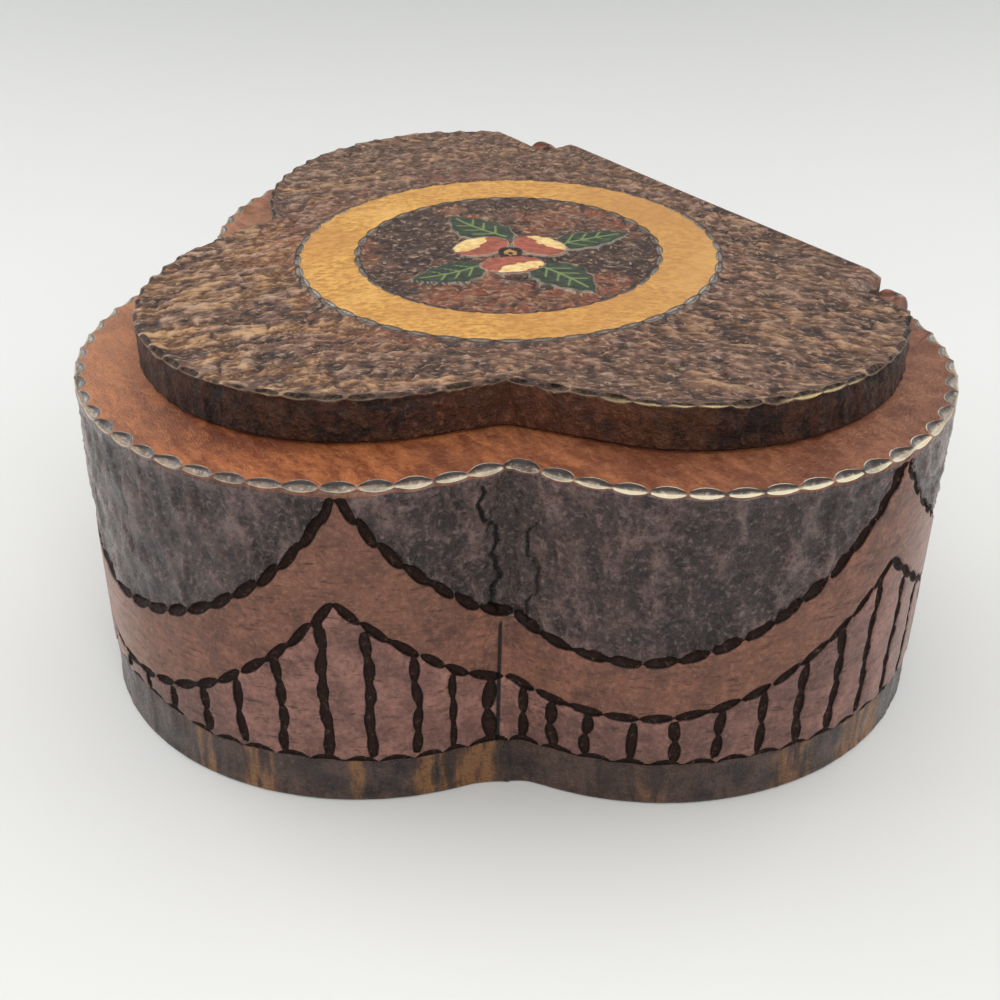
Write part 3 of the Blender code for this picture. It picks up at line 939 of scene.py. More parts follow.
class Nodes:
    """Short names for building a material's node tree."""

    def __init__(self, name):
        self.material = bpy.data.materials.new(name)
        self.material.use_nodes = True
        self.tree = self.material.node_tree
        self.tree.nodes.clear()
        self.out = self.tree.nodes.new("ShaderNodeOutputMaterial")
        self.shader = self.tree.nodes.new("ShaderNodeBsdfPrincipled")
        self.tree.links.new(self.shader.outputs["BSDF"], self.out.inputs["Surface"])
        self.coords = None

    def feed(self, socket, value):
        if isinstance(value, bpy.types.NodeSocket):
            self.tree.links.new(value, socket)
        elif isinstance(value, (tuple, list)) and socket.type == "VECTOR":
            socket.default_value = tuple(value)[:3]
        else:
            socket.default_value = value

    def attr(self, name, kind="Fac"):
        node = self.tree.nodes.new("ShaderNodeAttribute")
        node.attribute_name = name
        return node.outputs[kind]

    def object_coords(self):
        if self.coords is None:
            self.coords = self.tree.nodes.new("ShaderNodeTexCoord")
        return self.coords.outputs["Object"]

    def mapping(self, vector, scale=(1, 1, 1), turn=(0, 0, 0), shift=(0, 0, 0)):
        node = self.tree.nodes.new("ShaderNodeMapping")
        self.feed(node.inputs["Vector"], vector)
        node.inputs["Scale"].default_value = scale
        node.inputs["Rotation"].default_value = turn
        node.inputs["Location"].default_value = shift
        return node.outputs["Vector"]

    def noise(self, vector, scale, detail=3.0, rough=0.55, distortion=0.0, w=None):
        node = self.tree.nodes.new("ShaderNodeTexNoise")
        self.feed(node.inputs["Vector"], vector)
        node.inputs["Scale"].default_value = scale
        node.inputs["Detail"].default_value = detail
        node.inputs["Roughness"].default_value = rough
        node.inputs["Distortion"].default_value = distortion
        return node.outputs["Fac"]

    def cells(self, vector, scale, feature="F1", output="Distance", randomness=1.0):
        node = self.tree.nodes.new("ShaderNodeTexVoronoi")
        node.feature = feature
        self.feed(node.inputs["Vector"], vector)
        node.inputs["Scale"].default_value = scale
        node.inputs["Randomness"].default_value = randomness
        return node.outputs[output]

    def math(self, operation, a, b=0.0, c=0.0, clamp=False):
        node = self.tree.nodes.new("ShaderNodeMath")
        node.operation = operation
        node.use_clamp = clamp
        self.feed(node.inputs[0], a)
        self.feed(node.inputs[1], b)
        if len(node.inputs) > 2:
            self.feed(node.inputs[2], c)
        return node.outputs[0]

    def ramp(self, value, lo, hi, to_lo=0.0, to_hi=1.0, soft=True):
        node = self.tree.nodes.new("ShaderNodeMapRange")
        node.interpolation_type = "SMOOTHSTEP" if soft else "LINEAR"
        self.feed(node.inputs["Value"], value)
        node.inputs["From Min"].default_value = lo
        node.inputs["From Max"].default_value = hi
        node.inputs["To Min"].default_value = to_lo
        node.inputs["To Max"].default_value = to_hi
        return node.outputs["Result"]

    def mix(self, factor, a, b, blend="MIX"):
        node = self.tree.nodes.new("ShaderNodeMix")
        node.data_type = "RGBA"
        node.blend_type = blend
        node.clamp_factor = True
        self.feed(node.inputs[0], factor)
        self.feed(node.inputs[6], a)
        self.feed(node.inputs[7], b)
        return node.outputs[2]

    def scalar_mix(self, factor, a, b):
        node = self.tree.nodes.new("ShaderNodeMix")
        node.data_type = "FLOAT"
        node.clamp_factor = True
        self.feed(node.inputs[0], factor)
        self.feed(node.inputs[2], a)
        self.feed(node.inputs[3], b)
        return node.outputs[0]

    def bump(self, height, strength, distance, normal=None):
        node = self.tree.nodes.new("ShaderNodeBump")
        node.inputs["Strength"].default_value = strength
        node.inputs["Distance"].default_value = distance
        self.feed(node.inputs["Height"], height)
        if normal is not None:
            self.feed(node.inputs["Normal"], normal)
        return node.outputs["Normal"]

    def separate(self, vector):
        node = self.tree.nodes.new("ShaderNodeSeparateXYZ")
        self.feed(node.inputs[0], vector)
        return node.outputs

    def combine(self, x, y, z):
        node = self.tree.nodes.new("ShaderNodeCombineXYZ")
        self.feed(node.inputs[0], x)
        self.feed(node.inputs[1], y)
        self.feed(node.inputs[2], z)
        return node.outputs[0]


def box_material():
    m = Nodes("carved_box_wood")
    place = m.attr("place", "Vector")                 # along the wall, height, in mm
    p = m.object_coords()
    xyz = m.separate(p)
    sd_up, sd_low, sd_base = m.attr("sd_up"), m.attr("sd_low"), m.attr("sd_base")
    cut, split, bark = m.attr("cut"), m.attr("split"), m.attr("bark")
    chip, where = m.attr("chip"), m.attr("where")

    upper = m.ramp(sd_up, -0.1, 0.25)
    foot = m.ramp(sd_base, 0.15, -0.15)
    low = m.math("MULTIPLY", m.ramp(sd_low, 0.1, -0.2), m.math("SUBTRACT", 1.0, foot))
    cuts = m.ramp(cut, -0.02, 0.14)

    # Four shared textures: clouds of stain, blotches, pores round the wall, and flecks.
    cloud = m.noise(p, 52, detail=3, rough=0.62)
    blot = m.noise(m.mapping(p, shift=(3, 1, 2)), 230, detail=3, rough=0.66)
    grain = m.noise(m.mapping(p, scale=(330, 330, 1500)), 1.0, detail=3, rough=0.62, distortion=0.3)
    fleck = m.noise(p, 1250, detail=4, rough=0.75)
    tone = m.attr("tone")
    rightward = m.math("ADD", m.math("MULTIPLY", xyz[0], 0.569), m.math("MULTIPLY", xyz[1], 0.822))
    # Where painted sheen goes: the left and right edges of the wall in the camera's view.
    painted_sheen_zone = m.math("ADD", m.ramp(rightward, -0.042, -0.053), m.ramp(rightward, 0.060, 0.072), clamp=True)

    # Smooth wood: pink-brown above, duller below, with short dark pores along the wall.
    band = m.mix(m.ramp(blot, 0.34, 0.68), linear(84, 49, 36), linear(122, 76, 57))
    band = m.mix(m.ramp(cloud, 0.42, 0.60, 0, 0.6), band, linear(112, 70, 48))
    lower = m.mix(m.ramp(blot, 0.34, 0.68), linear(98, 63, 54), linear(138, 95, 83))
    lower = m.mix(m.ramp(cloud, 0.45, 0.64, 0, 0.65), lower, linear(82, 52, 46))
    smooth_wood = m.mix(low, band, lower)
    smooth_wood = m.mix(m.ramp(grain, 0.43, 0.30, 0, 0.85), smooth_wood, linear(56, 32, 26))
    smooth_wood = m.mix(m.ramp(fleck, 0.51, 0.64, 0, 0.20), smooth_wood, linear(176, 130, 108))
    smooth_wood = m.mix(m.ramp(fleck, 0.48, 0.36, 0, 0.45), smooth_wood, linear(58, 34, 28))

    # Stained ground above the festoons: dark, purple-brown and grey, lighter in clouds, with painted sheen on the
    # stroke crests and painted shade in the stroke hollows.
    ground = m.mix(m.ramp(blot, 0.36, 0.66), linear(54, 36, 34), linear(104, 78, 73))
    ground = m.mix(m.ramp(cloud, 0.42, 0.60, 0, 0.6), ground, linear(44, 31, 32))
    ground = m.mix(m.ramp(cloud, 0.46, 0.34, 0, 0.45), ground, linear(104, 76, 66))
    # Painted sheen on the stroke crests, painted shade in the stroke hollows.
    ground = m.mix(m.ramp(tone, 0.50, 0.95, 0, 0.6), ground, linear(136, 110, 103))
    ground = m.mix(m.ramp(tone, 0.42, 0.05, 0, 0.65), ground, linear(26, 17, 17))
    ground = m.mix(m.math("MULTIPLY", bark, 0.7), ground, linear(56, 44, 41))
    ground = m.mix(m.ramp(fleck, 0.52, 0.66, 0, 0.6), ground, linear(146, 122, 116))
    ground = m.mix(m.ramp(fleck, 0.48, 0.36, 0, 0.65), ground, linear(22, 14, 14))
    # Painted sheen: the outermost parts of two lobes, at the left and right edges of the view, are lightened in
    # streaks.
    ground = m.mix(m.math("MULTIPLY", painted_sheen_zone, m.ramp(tone, 0.35, 0.85, 0.10, 0.55)), ground, linear(178, 162, 154))
    smooth_wood = m.mix(m.math("MULTIPLY", painted_sheen_zone, 0.25), smooth_wood, linear(196, 164, 148))
    colour = m.mix(upper, smooth_wood, ground)

    # Foot strip: mottled, orange-brown where the stain wore off.
    streak = m.noise(m.mapping(p, scale=(520, 520, 110)), 1.0, detail=3, rough=0.6)
    base = m.mix(m.ramp(blot, 0.38, 0.64), linear(42, 31, 29), linear(88, 66, 58))
    base = m.mix(m.ramp(cloud, 0.48, 0.60, 0, 0.4), base, linear(92, 64, 50))
    amber = m.mix(m.ramp(streak, 0.40, 0.58), linear(88, 56, 38), linear(148, 102, 60))
    base = m.mix(m.ramp(m.math("ADD", tone, m.math("MULTIPLY", m.math("SUBTRACT", blot, 0.5), 0.9)), 0.22, 0.66, 0, 0.85), base, amber)
    base = m.mix(m.ramp(streak, 0.46, 0.34, 0, 0.6), base, linear(36, 26, 24))
    base = m.mix(m.ramp(fleck, 0.56, 0.74, 0, 0.5), base, linear(146, 118, 102))
    base = m.mix(m.ramp(fleck, 0.44, 0.30, 0, 0.5), base, linear(28, 20, 18))
    colour = m.mix(foot, colour, base)

    # Painted shade: cuts and the split are dark, darkest at the rims of the cuts, with lighter flecks here and there.
    hollow = m.mix(m.ramp(cut, 0.15, 0.5), linear(14, 8, 7), linear(42, 28, 23))
    hollow = m.mix(m.ramp(fleck, 0.54, 0.76, 0, 0.8), hollow, linear(112, 88, 74))
    colour = m.mix(m.math("MULTIPLY", cuts, 0.97), colour, hollow)
    # Painted shade in the split.
    colour = m.mix(m.ramp(split, 0.12, 0.55), colour, linear(16, 10, 9))

    # Rim: satin red-brown, more orange towards the front.
    front = m.ramp(m.math("ADD", m.math("MULTIPLY", xyz[1], -1.0), m.math("MULTIPLY", xyz[0], 0.35)), -0.02, 0.05)
    rings = m.noise(m.mapping(p, scale=(210, 520, 210), turn=(0, 0, 0.30)), 1.0, detail=4, rough=0.72, distortion=0.4)
    top = m.mix(m.ramp(rings, 0.30, 0.70), linear(138, 90, 66), linear(176, 122, 92))
    top_front = m.mix(m.ramp(rings, 0.30, 0.70), linear(116, 60, 34), linear(172, 103, 61))
    top = m.mix(front, top, top_front)
    top = m.mix(m.ramp(cloud, 0.50, 0.62, 0, 0.6), top, linear(98, 52, 36))
    top = m.mix(m.ramp(blot, 0.46, 0.34, 0, 0.5), top, linear(92, 48, 32))
    # Painted shade on the right part of the rim, under the lid, and painted light on its left part.
    top = m.mix(m.ramp(rightward, 0.0, 0.05, 0, 0.40), top, linear(92, 50, 34))
    top = m.mix(m.ramp(rightward, -0.03, -0.062, 0, 0.40), top, linear(214, 160, 124))
    top = m.mix(m.ramp(fleck, 0.54, 0.68, 0, 0.18), top, linear(214, 162, 126))
    top = m.mix(m.ramp(fleck, 0.46, 0.35, 0, 0.30), top, linear(82, 42, 28))
    is_rim = m.math("MULTIPLY", m.ramp(where, 0.45, 0.55), m.ramp(where, 1.6, 1.4))
    colour = m.mix(is_rim, colour, top)

    # Chain of cuts on the rim: grey hollows that are partly a painted reflection of gloss, palest along the lower lip
    # at the front where the varnish is worn, with a painted highlight line along the lower lip and painted shade under
    # the upper edge.
    is_chip = m.ramp(chip, -0.06, -0.01)
    leg = m.separate(place)[2]
    deep = m.ramp(leg, 0.30, 0.55)
    hollow_sheen_and_shade = m.mix(m.ramp(blot, 0.38, 0.62), linear(62, 49, 43), linear(128, 110, 98))
    hollow_sheen_and_shade = m.mix(m.ramp(fleck, 0.51, 0.64, 0, 0.6), hollow_sheen_and_shade, linear(190, 174, 154))
    hollow_sheen_and_shade = m.mix(m.ramp(fleck, 0.48, 0.36, 0, 0.6), hollow_sheen_and_shade, linear(48, 36, 31))
    along = m.separate(place)[0]
    pale = m.math("MULTIPLY", m.ramp(along, 2.0, 9.0), m.ramp(along, 72.0, 56.0))
    pale = m.math("ADD", m.math("ADD", pale, m.ramp(along, 396.0, 404.0, 0, 0.5)), 0.18, clamp=True)
    lip_highlight_and_wear = m.ramp(chip, 0.22, 0.08, 0.0, 0.95)
    worn = m.math("MULTIPLY", m.math("MAXIMUM", lip_highlight_and_wear, m.ramp(chip, 0.60, 0.35, 0, 0.75)),
                  m.math("MULTIPLY", pale, m.ramp(cloud, 0.40, 0.50, 0.45, 1.0)))
    white = m.mix(worn, hollow_sheen_and_shade, linear(240, 230, 196))
    # Painted highlight: a light line along the lower lip of every cut.
    white = m.mix(m.math("MULTIPLY", lip_highlight_and_wear, 0.35), white, linear(214, 196, 168))
    # Painted shade: dark under the upper edge of each cut.
    hollow_sheen_and_shade = m.mix(m.ramp(chip, 0.58, 0.86), white, linear(34, 20, 16))
    lip = m.mix(m.ramp(blot, 0.42, 0.58), linear(44, 26, 20), linear(150, 104, 78))
    colour = m.mix(is_chip, colour, m.mix(deep, lip, hollow_sheen_and_shade))

    # Inside and underside: plain brown stain over bare wood.
    is_in = m.math("MULTIPLY", m.ramp(where, 1.6, 1.9), m.ramp(where, 2.6, 2.4))
    inner = m.mix(m.ramp(rings, 0.3, 0.7), linear(92, 58, 40), linear(136, 92, 64))
    inner = m.mix(m.ramp(cloud, 0.45, 0.62, 0, 0.6), inner, linear(76, 48, 35))
    colour = m.mix(is_in, colour, inner)
    is_under = m.ramp(where, 2.6, 2.9)
    bare = m.mix(m.ramp(rings, 0.3, 0.7), linear(122, 88, 62), linear(168, 128, 92))
    bare = m.mix(m.ramp(cloud, 0.46, 0.64, 0, 0.65), bare, linear(98, 70, 50))
    bare = m.mix(m.ramp(fleck, 0.42, 0.28, 0, 0.6), bare, linear(64, 44, 32))
    colour = m.mix(is_under, colour, bare)

    m.feed(m.shader.inputs["Base Color"], colour)
    rough = m.scalar_mix(m.math("ADD", upper, foot, clamp=True), m.ramp(grain, 0.35, 0.6, 0.62, 0.44), m.ramp(fleck, 0.36, 0.64, 0.20, 0.42))
    rough = m.scalar_mix(cuts, rough, 0.5)
    rough = m.scalar_mix(is_rim, rough, m.ramp(rings, 0.3, 0.7, 0.34, 0.44))
    rough = m.scalar_mix(is_chip, rough, 0.30)
    rough = m.scalar_mix(m.math("ADD", is_in, is_under, clamp=True), rough, 0.62)
    m.feed(m.shader.inputs["Roughness"], rough)
    m.feed(m.shader.inputs["Specular IOR Level"], m.scalar_mix(cuts, m.scalar_mix(upper, 0.30, 0.45), 0.10))
    bare_wood = m.math("ADD", m.math("MAXIMUM", cuts, m.ramp(split, 0.12, 0.55)), m.math("ADD", is_in, is_under), clamp=True)
    m.feed(m.shader.inputs["Coat Weight"], m.scalar_mix(bare_wood, m.scalar_mix(is_rim, 0.30, 0.12), 0.03))
    m.shader.inputs["Coat Roughness"].default_value = 0.24

    rugged = m.math("ADD", m.math("ADD", upper, foot, clamp=True), m.math("MULTIPLY", cuts, 0.8), clamp=True)
    height = m.math("MULTIPLY", fleck, m.scalar_mix(rugged, 0.25, 1.0))
    m.feed(m.shader.inputs["Normal"], m.bump(height, 1.0, 0.0015))
    return m.material


def lid_material():
    m = Nodes("carved_lid_wood")
    p = m.object_coords()
    xyz = m.separate(p)
    x = m.math("ADD", xyz[0], ORIGIN[0] / 1000.0)
    y = m.math("ADD", xyz[1], ORIGIN[1] / 1000.0)
    c, sn = math.cos(VIEW_TURN), math.sin(VIEW_TURN)
    px = m.math("ADD", m.math("MULTIPLY", x, c), m.math("MULTIPLY", y, sn))
    py = m.math("ADD", m.math("MULTIPLY", x, -sn), m.math("MULTIPLY", y, c))
    r = m.math("MULTIPLY", m.math("SQRT", m.math("ADD", m.math("MULTIPLY", x, x), m.math("MULTIPLY", y, y))), 1000.0)
    bent = m.math("ADD", py, m.math("MULTIPLY", m.math("MULTIPLY", px, px), 4.0))
    turned = m.combine(px, bent, xyz[2])
    cut, high, chip, side = m.attr("cut"), m.attr("high"), m.attr("chip"), m.attr("side")

    # Shared textures: broad stain, fibres across the photo's view, and flecks.
    cloud = m.noise(p, 46, detail=3, rough=0.62)
    fibre = m.noise(m.mapping(turned, scale=(260, 620, 260)), 1.0, detail=4, rough=0.70, distortion=0.6)
    fleck = m.noise(m.mapping(turned, scale=(800, 1500, 800)), 1.0, detail=4, rough=0.70)

    # Stained, gouged ground: darker in the hollows and lighter on the crests, partly stain pooled and rubbed, partly
    # painted shade and painted sheen.
    brown = m.mix(m.ramp(high, 0.02, 0.42), linear(46, 28, 22), linear(112, 78, 62))
    brown = m.mix(m.ramp(high, 0.40, 0.90), brown, linear(182, 146, 120))
    brown = m.mix(m.ramp(fibre, 0.50, 0.64, 0, 0.35), brown, linear(166, 116, 84))
    brown = m.mix(m.ramp(fibre, 0.48, 0.34, 0, 0.25), brown, linear(70, 46, 37))
    brown = m.mix(m.ramp(cloud, 0.50, 0.62, 0, 0.3), brown, linear(88, 62, 52))
    # Tan where the stain is rubbed thin, mostly to the left, and reddish by the ring.
    left = m.ramp(px, 0.015, -0.045)
    amber = m.ramp(m.noise(m.mapping(turned, scale=(62, 150, 62), shift=(2, 5, 1)), 1.0, detail=4, rough=0.7, distortion=0.9), 0.45, 0.60)
    amber_share = m.math("MULTIPLY", amber, m.scalar_mix(left, 0.32, 1.0))
    brown = m.mix(amber_share, brown, m.mix(m.ramp(high, 0.12, 0.8), linear(112, 72, 40), linear(214, 162, 106)))
    # Painted sheen: lighter crests on the left of the lid.
    brown = m.mix(m.math("MULTIPLY", m.ramp(px, -0.012, -0.045), m.ramp(high, 0.35, 0.85, 0, 0.38)), brown, linear(216, 182, 152))
    near_ring = m.math("MULTIPLY", m.ramp(r, 47.0, 36.0), m.ramp(px, 0.03, -0.02))
    inner_disc = m.ramp(r, 24.3, 23.5)
    reddish = m.math("MULTIPLY", m.ramp(cloud, 0.44, 0.54), m.ramp(fibre, 0.42, 0.58))
    red_share = m.math("MULTIPLY", reddish, m.math("ADD", m.math("MULTIPLY", near_ring, 0.6), m.math("MULTIPLY", inner_disc, 0.95), clamp=True))
    brown = m.mix(red_share, brown, linear(148, 80, 52))
    brown = m.mix(m.math("MULTIPLY", inner_disc, m.ramp(cloud, 0.52, 0.44, 0.10, 0.85)), brown, linear(50, 31, 28))
    grey = m.ramp(py, -0.005, 0.04)
    brown = m.mix(m.math("MULTIPLY", grey, 0.25), brown, linear(116, 92, 80))
    brown = m.mix(m.ramp(fleck, 0.52, 0.66, 0, 0.65), brown, linear(208, 172, 142))
    brown = m.mix(m.ramp(fleck, 0.48, 0.35, 0, 0.65), brown, linear(32, 20, 17))

    # The varnished ring.
    ring = m.mix(m.ramp(fleck, 0.36, 0.64), linear(172, 118, 48), linear(222, 168, 84))
    ring = m.mix(m.ramp(fibre, 0.46, 0.62, 0, 0.3), ring, linear(212, 156, 78))
    ring = m.mix(m.ramp(cloud, 0.46, 0.62, 0, 0.45), ring, linear(180, 122, 58))
    ring = m.mix(m.ramp(cloud, 0.44, 0.34, 0, 0.5), ring, linear(232, 184, 104))
    ring = m.mix(m.ramp(px, 0.0, 0.030, 0, 0.5), ring, linear(180, 128, 72))
    rr = m.math("ADD", r, m.math("MULTIPLY", m.math("SUBTRACT", fleck, 0.5), 0.6))
    in_ring = m.math("MULTIPLY", m.ramp(rr, RING_IN + 0.05, RING_IN + 0.2), m.ramp(rr, RING_OUT - 0.05, RING_OUT - 0.2))
    colour = m.mix(in_ring, brown, ring)
    dark_line = m.math("ADD", m.math("MULTIPLY", m.ramp(rr, RING_OUT - 0.25, RING_OUT + 0.02), m.ramp(rr, RING_OUT + 0.75, RING_OUT + 0.2)),
                       m.math("MULTIPLY", m.ramp(rr, RING_IN - 0.75, RING_IN - 0.2), m.ramp(rr, RING_IN + 0.25, RING_IN - 0.02)), clamp=True)
    colour = m.mix(m.math("MULTIPLY", dark_line, 0.85), colour, linear(44, 30, 24))

    # The painted flower.
    petal, cream, leaf_, vein, edge, heart = (m.attr(k) for k in ("petal", "cream", "leaf", "vein", "edge", "heart"))
    green = m.mix(m.ramp(fleck, 0.35, 0.65), linear(18, 32, 22), linear(46, 64, 44))
    green = m.mix(m.math("MULTIPLY", m.ramp(vein, 0.14, -0.04), 0.7), green, linear(128, 152, 84))
    is_leaf = m.ramp(leaf_, 0.08, -0.08)
    colour = m.mix(m.math("MULTIPLY", is_leaf, 0.95), colour, green)
    rust = m.mix(m.ramp(fleck, 0.35, 0.65), linear(128, 62, 46), linear(170, 92, 70))
    tip = m.mix(m.ramp(fleck, 0.35, 0.65), linear(206, 168, 98), linear(236, 208, 148))
    is_petal = m.ramp(petal, 0.08, -0.08)
    colour = m.mix(is_petal, colour, rust)
    colour = m.mix(m.ramp(cream, 0.08, -0.1), colour, tip)
    drawn = m.math("MULTIPLY", m.ramp(edge, 0.26, 0.12), m.ramp(fibre, 0.36, 0.52, 0.25, 1.0))
    colour = m.mix(m.math("MULTIPLY", drawn, 0.75), colour, linear(176, 164, 142))
    colour = m.mix(m.ramp(heart, 2.0, 1.8), colour, linear(40, 24, 20))
    colour = m.mix(m.ramp(heart, 1.15, 0.95), colour, linear(196, 150, 84))
    colour = m.mix(m.ramp(heart, 0.5, 0.35), colour, linear(48, 28, 22))

    # Hollows of the round chains: painted reflection, silvery towards the left and right flanks and duller in the
    # middle; painted shade, dark at their rims.
    cuts = m.ramp(cut, 0.0, 0.12)
    reflection_flank = m.ramp(m.math("ABSOLUTE", px), 0.012, 0.027)
    hollow_sheen_and_shade = m.mix(m.ramp(fleck, 0.35, 0.65), linear(96, 84, 76), linear(168, 158, 146))
    dull = m.mix(m.ramp(fleck, 0.35, 0.65), linear(70, 56, 48), linear(132, 114, 98))
    hollow_sheen_and_shade = m.mix(reflection_flank, dull, hollow_sheen_and_shade)
    hollow_sheen_and_shade = m.mix(m.ramp(cut, 0.30, 0.12), hollow_sheen_and_shade, linear(36, 24, 20))
    colour = m.mix(m.math("MULTIPLY", cuts, 0.96), colour, hollow_sheen_and_shade)

    # Side: very dark, mottled.
    edge_colour = m.mix(m.ramp(fibre, 0.38, 0.64), linear(30, 16, 12), linear(88, 50, 34))
    edge_colour = m.mix(m.ramp(cloud, 0.50, 0.60, 0, 0.7), edge_colour, linear(96, 54, 30))
    edge_colour = m.mix(m.ramp(cloud, 0.46, 0.38, 0, 0.8), edge_colour, linear(22, 14, 13))
    edge_colour = m.mix(m.ramp(fleck, 0.53, 0.66, 0, 0.5), edge_colour, linear(128, 88, 66))
    edge_colour = m.mix(m.ramp(fleck, 0.47, 0.36, 0, 0.5), edge_colour, linear(16, 9, 8))
    # Painted light on the middle of the side, the part facing the front, and painted shade to each side of it.
    middle = m.math("ABSOLUTE", px)
    edge_colour = m.mix(m.ramp(middle, 0.018, 0.004, 0, 0.3), edge_colour, linear(112, 64, 42))
    edge_colour = m.mix(m.math("MULTIPLY", m.ramp(middle, 0.010, 0.022, 0, 0.4), m.ramp(middle, 0.058, 0.044)), edge_colour, linear(24, 16, 14))
    is_side = m.ramp(side, 0.4, 0.9)
    colour = m.mix(is_side, colour, edge_colour)

    # Cuts on the upper edge, worn pale mostly on the right-hand front lobe.
    leg = m.separate(m.attr("place", "Vector"))[2]
    is_chip = m.math("MULTIPLY", m.math("MULTIPLY", m.ramp(chip, -0.06, 0.0), m.ramp(side, 0.8, 0.6)), m.ramp(leg, 0.16, 0.34))
    where_worn = m.math("MULTIPLY", m.ramp(px, 0.005, 0.03), m.ramp(py, 0.012, -0.012))
    worn = m.math("MULTIPLY", m.ramp(cloud, 0.44, 0.56), m.scalar_mix(where_worn, 0.06, 1.0))
    lip = m.mix(m.ramp(fleck, 0.35, 0.65), linear(30, 21, 18), linear(92, 74, 64))
    lip = m.mix(m.ramp(chip, 0.26, 0.08, 0, 0.5), lip, linear(164, 134, 110))
    lip = m.mix(m.math("MULTIPLY", worn, m.ramp(chip, 0.60, 0.2)), lip, linear(222, 200, 148))
    colour = m.mix(is_chip, colour, lip)

    # Underside: thin brown stain.
    is_under = m.ramp(side, 1.4, 1.8)
    under_grain = m.noise(m.mapping(p, scale=(48, 760, 48)), 1.0, detail=4, rough=0.6, distortion=0.25)
    under = m.mix(m.ramp(under_grain, 0.34, 0.66), linear(92, 58, 40), linear(148, 100, 71))
    under = m.mix(m.ramp(cloud, 0.48, 0.62, 0, 0.4), under, linear(84, 54, 40))
    under = m.mix(m.ramp(fleck, 0.47, 0.36, 0, 0.5), under, linear(58, 36, 26))
    under = m.mix(m.ramp(fleck, 0.53, 0.66, 0, 0.35), under, linear(176, 132, 100))
    colour = m.mix(is_under, colour, under)

    m.feed(m.shader.inputs["Base Color"], colour)
    rough = m.ramp(high, 0.2, 0.9, 0.55, 0.36)
    rough = m.scalar_mix(in_ring, rough, 0.36)
    rough = m.scalar_mix(cuts, rough, 0.28)
    rough = m.scalar_mix(is_under, rough, 0.6)
    m.feed(m.shader.inputs["Roughness"], rough)
    m.feed(m.shader.inputs["Specular IOR Level"], m.scalar_mix(is_chip, m.scalar_mix(is_side, 0.40, 0.22), 0.10))
    dry = m.math("ADD", m.math("MULTIPLY", is_side, 0.7), m.math("ADD", is_chip, is_under), clamp=True)
    m.feed(m.shader.inputs["Coat Weight"], m.scalar_mix(dry, 0.34, 0.03))
    m.shader.inputs["Coat Roughness"].default_value = 0.22

    paint = m.math("ADD", is_leaf, is_petal, clamp=True)
    calm = m.math("ADD", in_ring, m.math("ADD", paint, is_under), clamp=True)
    height = m.math("MULTIPLY", fleck, m.scalar_mix(calm, 1.0, 0.25))
    m.feed(m.shader.inputs["Normal"], m.bump(height, 1.0, 0.0014))
    return m.material


def ear_material():
    m = Nodes("ear_wood")
    p = m.object_coords()
    grain = m.noise(m.mapping(p, scale=(900, 900, 160)), 1.0, detail=4, rough=0.6, distortion=0.4)
    colour = m.mix(m.ramp(grain, 0.3, 0.7), linear(74, 36, 22), linear(134, 74, 42))
    colour = m.mix(m.ramp(m.noise(p, 260, detail=3), 0.48, 0.62, 0, 0.8), colour, linear(44, 24, 18))
    m.feed(m.shader.inputs["Base Color"], colour)
    m.feed(m.shader.inputs["Roughness"], m.ramp(grain, 0.3, 0.7, 0.24, 0.38))
    m.shader.inputs["Coat Weight"].default_value = 0.3
    m.shader.inputs["Coat Roughness"].default_value = 0.15
    m.feed(m.shader.inputs["Normal"], m.bump(grain, 0.4, 0.0002))
    return m.material


# ---- build -----------------------------------------------------------------------------------------

box = build_box()
face_outwards(box)
box.data.materials.append(box_material())

ears = []
for label, (x0, x1), seed in (("ear_right", EAR_X[0], 3), ("ear_left", EAR_X[1], 5)):
    ear = build_ear(label, x0, x1, seed)
    face_outwards(ear)
    ear.data.materials.append(ear_material())
    ears.append(ear)

lid = build_lid()
face_outwards(lid)
lid.data.materials.append(lid_material())

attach(box, "box")
for ear in ears:
    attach(ear, "box")
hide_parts("box_body")
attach(lid, "lid")
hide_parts("lid")

# ---- floor, light and camera ---------------------------------------------------------------------------


def floor_material():
    m = Nodes("pale_floor")
    p = m.object_coords()
    n = m.noise(p, 3.0, detail=3)
    xyz = m.separate(p)
    # Painted shade: the floor and backdrop get darker further behind the box, where less light reaches.
    behind = m.math("ADD", m.math("MULTIPLY", xyz[0], -0.822), m.math("MULTIPLY", xyz[1], 0.569))
    pale = m.mix(m.ramp(n, 0.3, 0.7), (0.655, 0.655, 0.64, 1), (0.672, 0.672, 0.657, 1))
    m.feed(m.shader.inputs["Base Color"], m.mix(m.ramp(behind, 0.05, 0.50), pale, (0.535, 0.54, 0.53, 1)))
    m.shader.inputs["Roughness"].default_value = 0.6
    m.feed(m.shader.inputs["Normal"], m.bump(m.noise(p, 900, detail=2), 0.05, 0.0002))
    return m.material


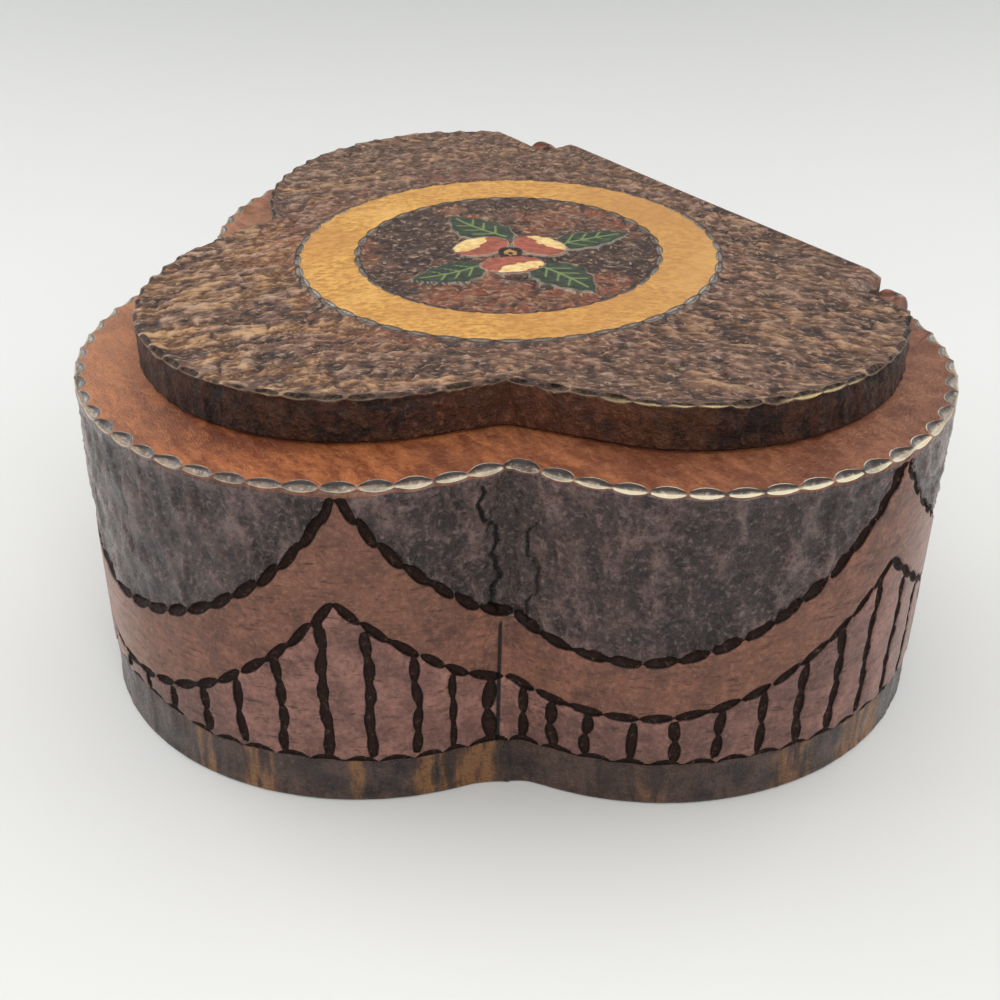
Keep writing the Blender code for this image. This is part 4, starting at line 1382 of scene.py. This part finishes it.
def build_floor():
    """A sheet that lies flat under the box and curves up far behind it."""
    heading = math.radians(-55.3)
    depth = Vector((math.sin(heading), math.cos(heading), 0)) * 1.0
    across = Vector((math.cos(heading), -math.sin(heading), 0)) * 1.0
    profile = [(-6.0, 0.0), (-2.5, 0.0), (-0.6, 0.0), (0.0, 0.0), (0.6, 0.0), (1.0, 0.0)]
    for k in range(1, 13):
        a = math.radians(90 * k / 12)
        profile.append((1.0 + 0.7 * math.sin(a), 0.7 - 0.7 * math.cos(a)))
    profile.append((1.7, 3.0))
    verts, faces = [], []
    width = 9
    for d, z in profile:
        for i in range(width + 1):
            w = -6.0 + 12.0 * i / width
            verts.append(tuple(depth * d + across * w + Vector((0, 0, z))))
    for r in range(len(profile) - 1):
        for i in range(width):
            a = r * (width + 1) + i
            faces.append((a, a + 1, a + width + 2, a + width + 1))
    mesh = bpy.data.meshes.new("floor")
    mesh.from_pydata(verts, [], faces)
    mesh.polygons.foreach_set("use_smooth", np.ones(len(mesh.polygons), bool))
    obj = bpy.data.objects.new("floor", mesh)
    bpy.context.scene.collection.objects.link(obj)
    return obj


floor = build_floor()
floor.data.materials.append(floor_material())


def area(name, location, target, size, power, colour=(1, 1, 1)):
    data = bpy.data.lights.new(name, "AREA")
    data.shape = "RECTANGLE"
    data.size, data.size_y = size
    data.energy = power
    data.color = colour
    obj = bpy.data.objects.new(name, data)
    bpy.context.scene.collection.objects.link(obj)
    obj.location = location
    obj.rotation_euler = (Vector(target) - Vector(location)).to_track_quat("-Z", "Y").to_euler()
    return obj


AHEAD = Vector((-0.82214, 0.56928, 0.0))        # the camera's level heading
RIGHT = Vector((0.56928, 0.82214, 0.0))


def spot(right, ahead, up):
    return tuple(RIGHT * right + AHEAD * ahead + Vector((0, 0, up)))


area("top_soft", spot(0.0, 0.05, 0.95), (0, 0, 0), (1.0, 0.9), 4.8, (1.0, 0.99, 0.97))
area("left_soft", spot(-0.80, 0.30, 0.36), (0, 0, 0.03), (1.0, 0.6), 6.0, (0.98, 0.99, 1.0))
area("right_soft", spot(0.80, 0.30, 0.38), (0, 0, 0.03), (1.0, 0.6), 4.6, (0.98, 0.99, 1.0))
area("front_soft", spot(0.1, -0.95, 0.62), (0, 0, 0.03), (0.9, 0.5), 7.4)

world = bpy.data.worlds.new("studio")
world.use_nodes = True
background = world.node_tree.nodes["Background"]
background.inputs["Color"].default_value = (0.92, 0.93, 0.94, 1)
background.inputs["Strength"].default_value = 0.40
bpy.context.scene.world = world
bpy.context.scene.view_settings.view_transform = "Standard"
bpy.context.scene.view_settings.look = "None"
bpy.context.scene.view_settings.exposure = 0.0

camera_data = bpy.data.cameras.new("camera")
camera_data.sensor_width = 36.0
camera_data.lens = 52.2
camera_data.clip_start = 0.01
camera = bpy.data.objects.new("camera", camera_data)
bpy.context.scene.collection.objects.link(camera)
pitch, roll = math.radians(31.635), math.radians(-0.4545)
forward = AHEAD * math.cos(pitch) - Vector((0, 0, math.sin(pitch)))
level = RIGHT
upward = level.cross(forward)
x_axis = level * math.cos(roll) + upward * math.sin(roll)
y_axis = upward * math.cos(roll) - level * math.sin(roll)
camera.matrix_world = Matrix.Translation((0.17608, -0.11278, 0.14750)) @ Matrix(
    (x_axis, y_axis, -forward)).transposed().to_4x4()
bpy.context.scene.camera = camera


def plain(box_):
    return [[float(v) for v in corner] for corner in box_]
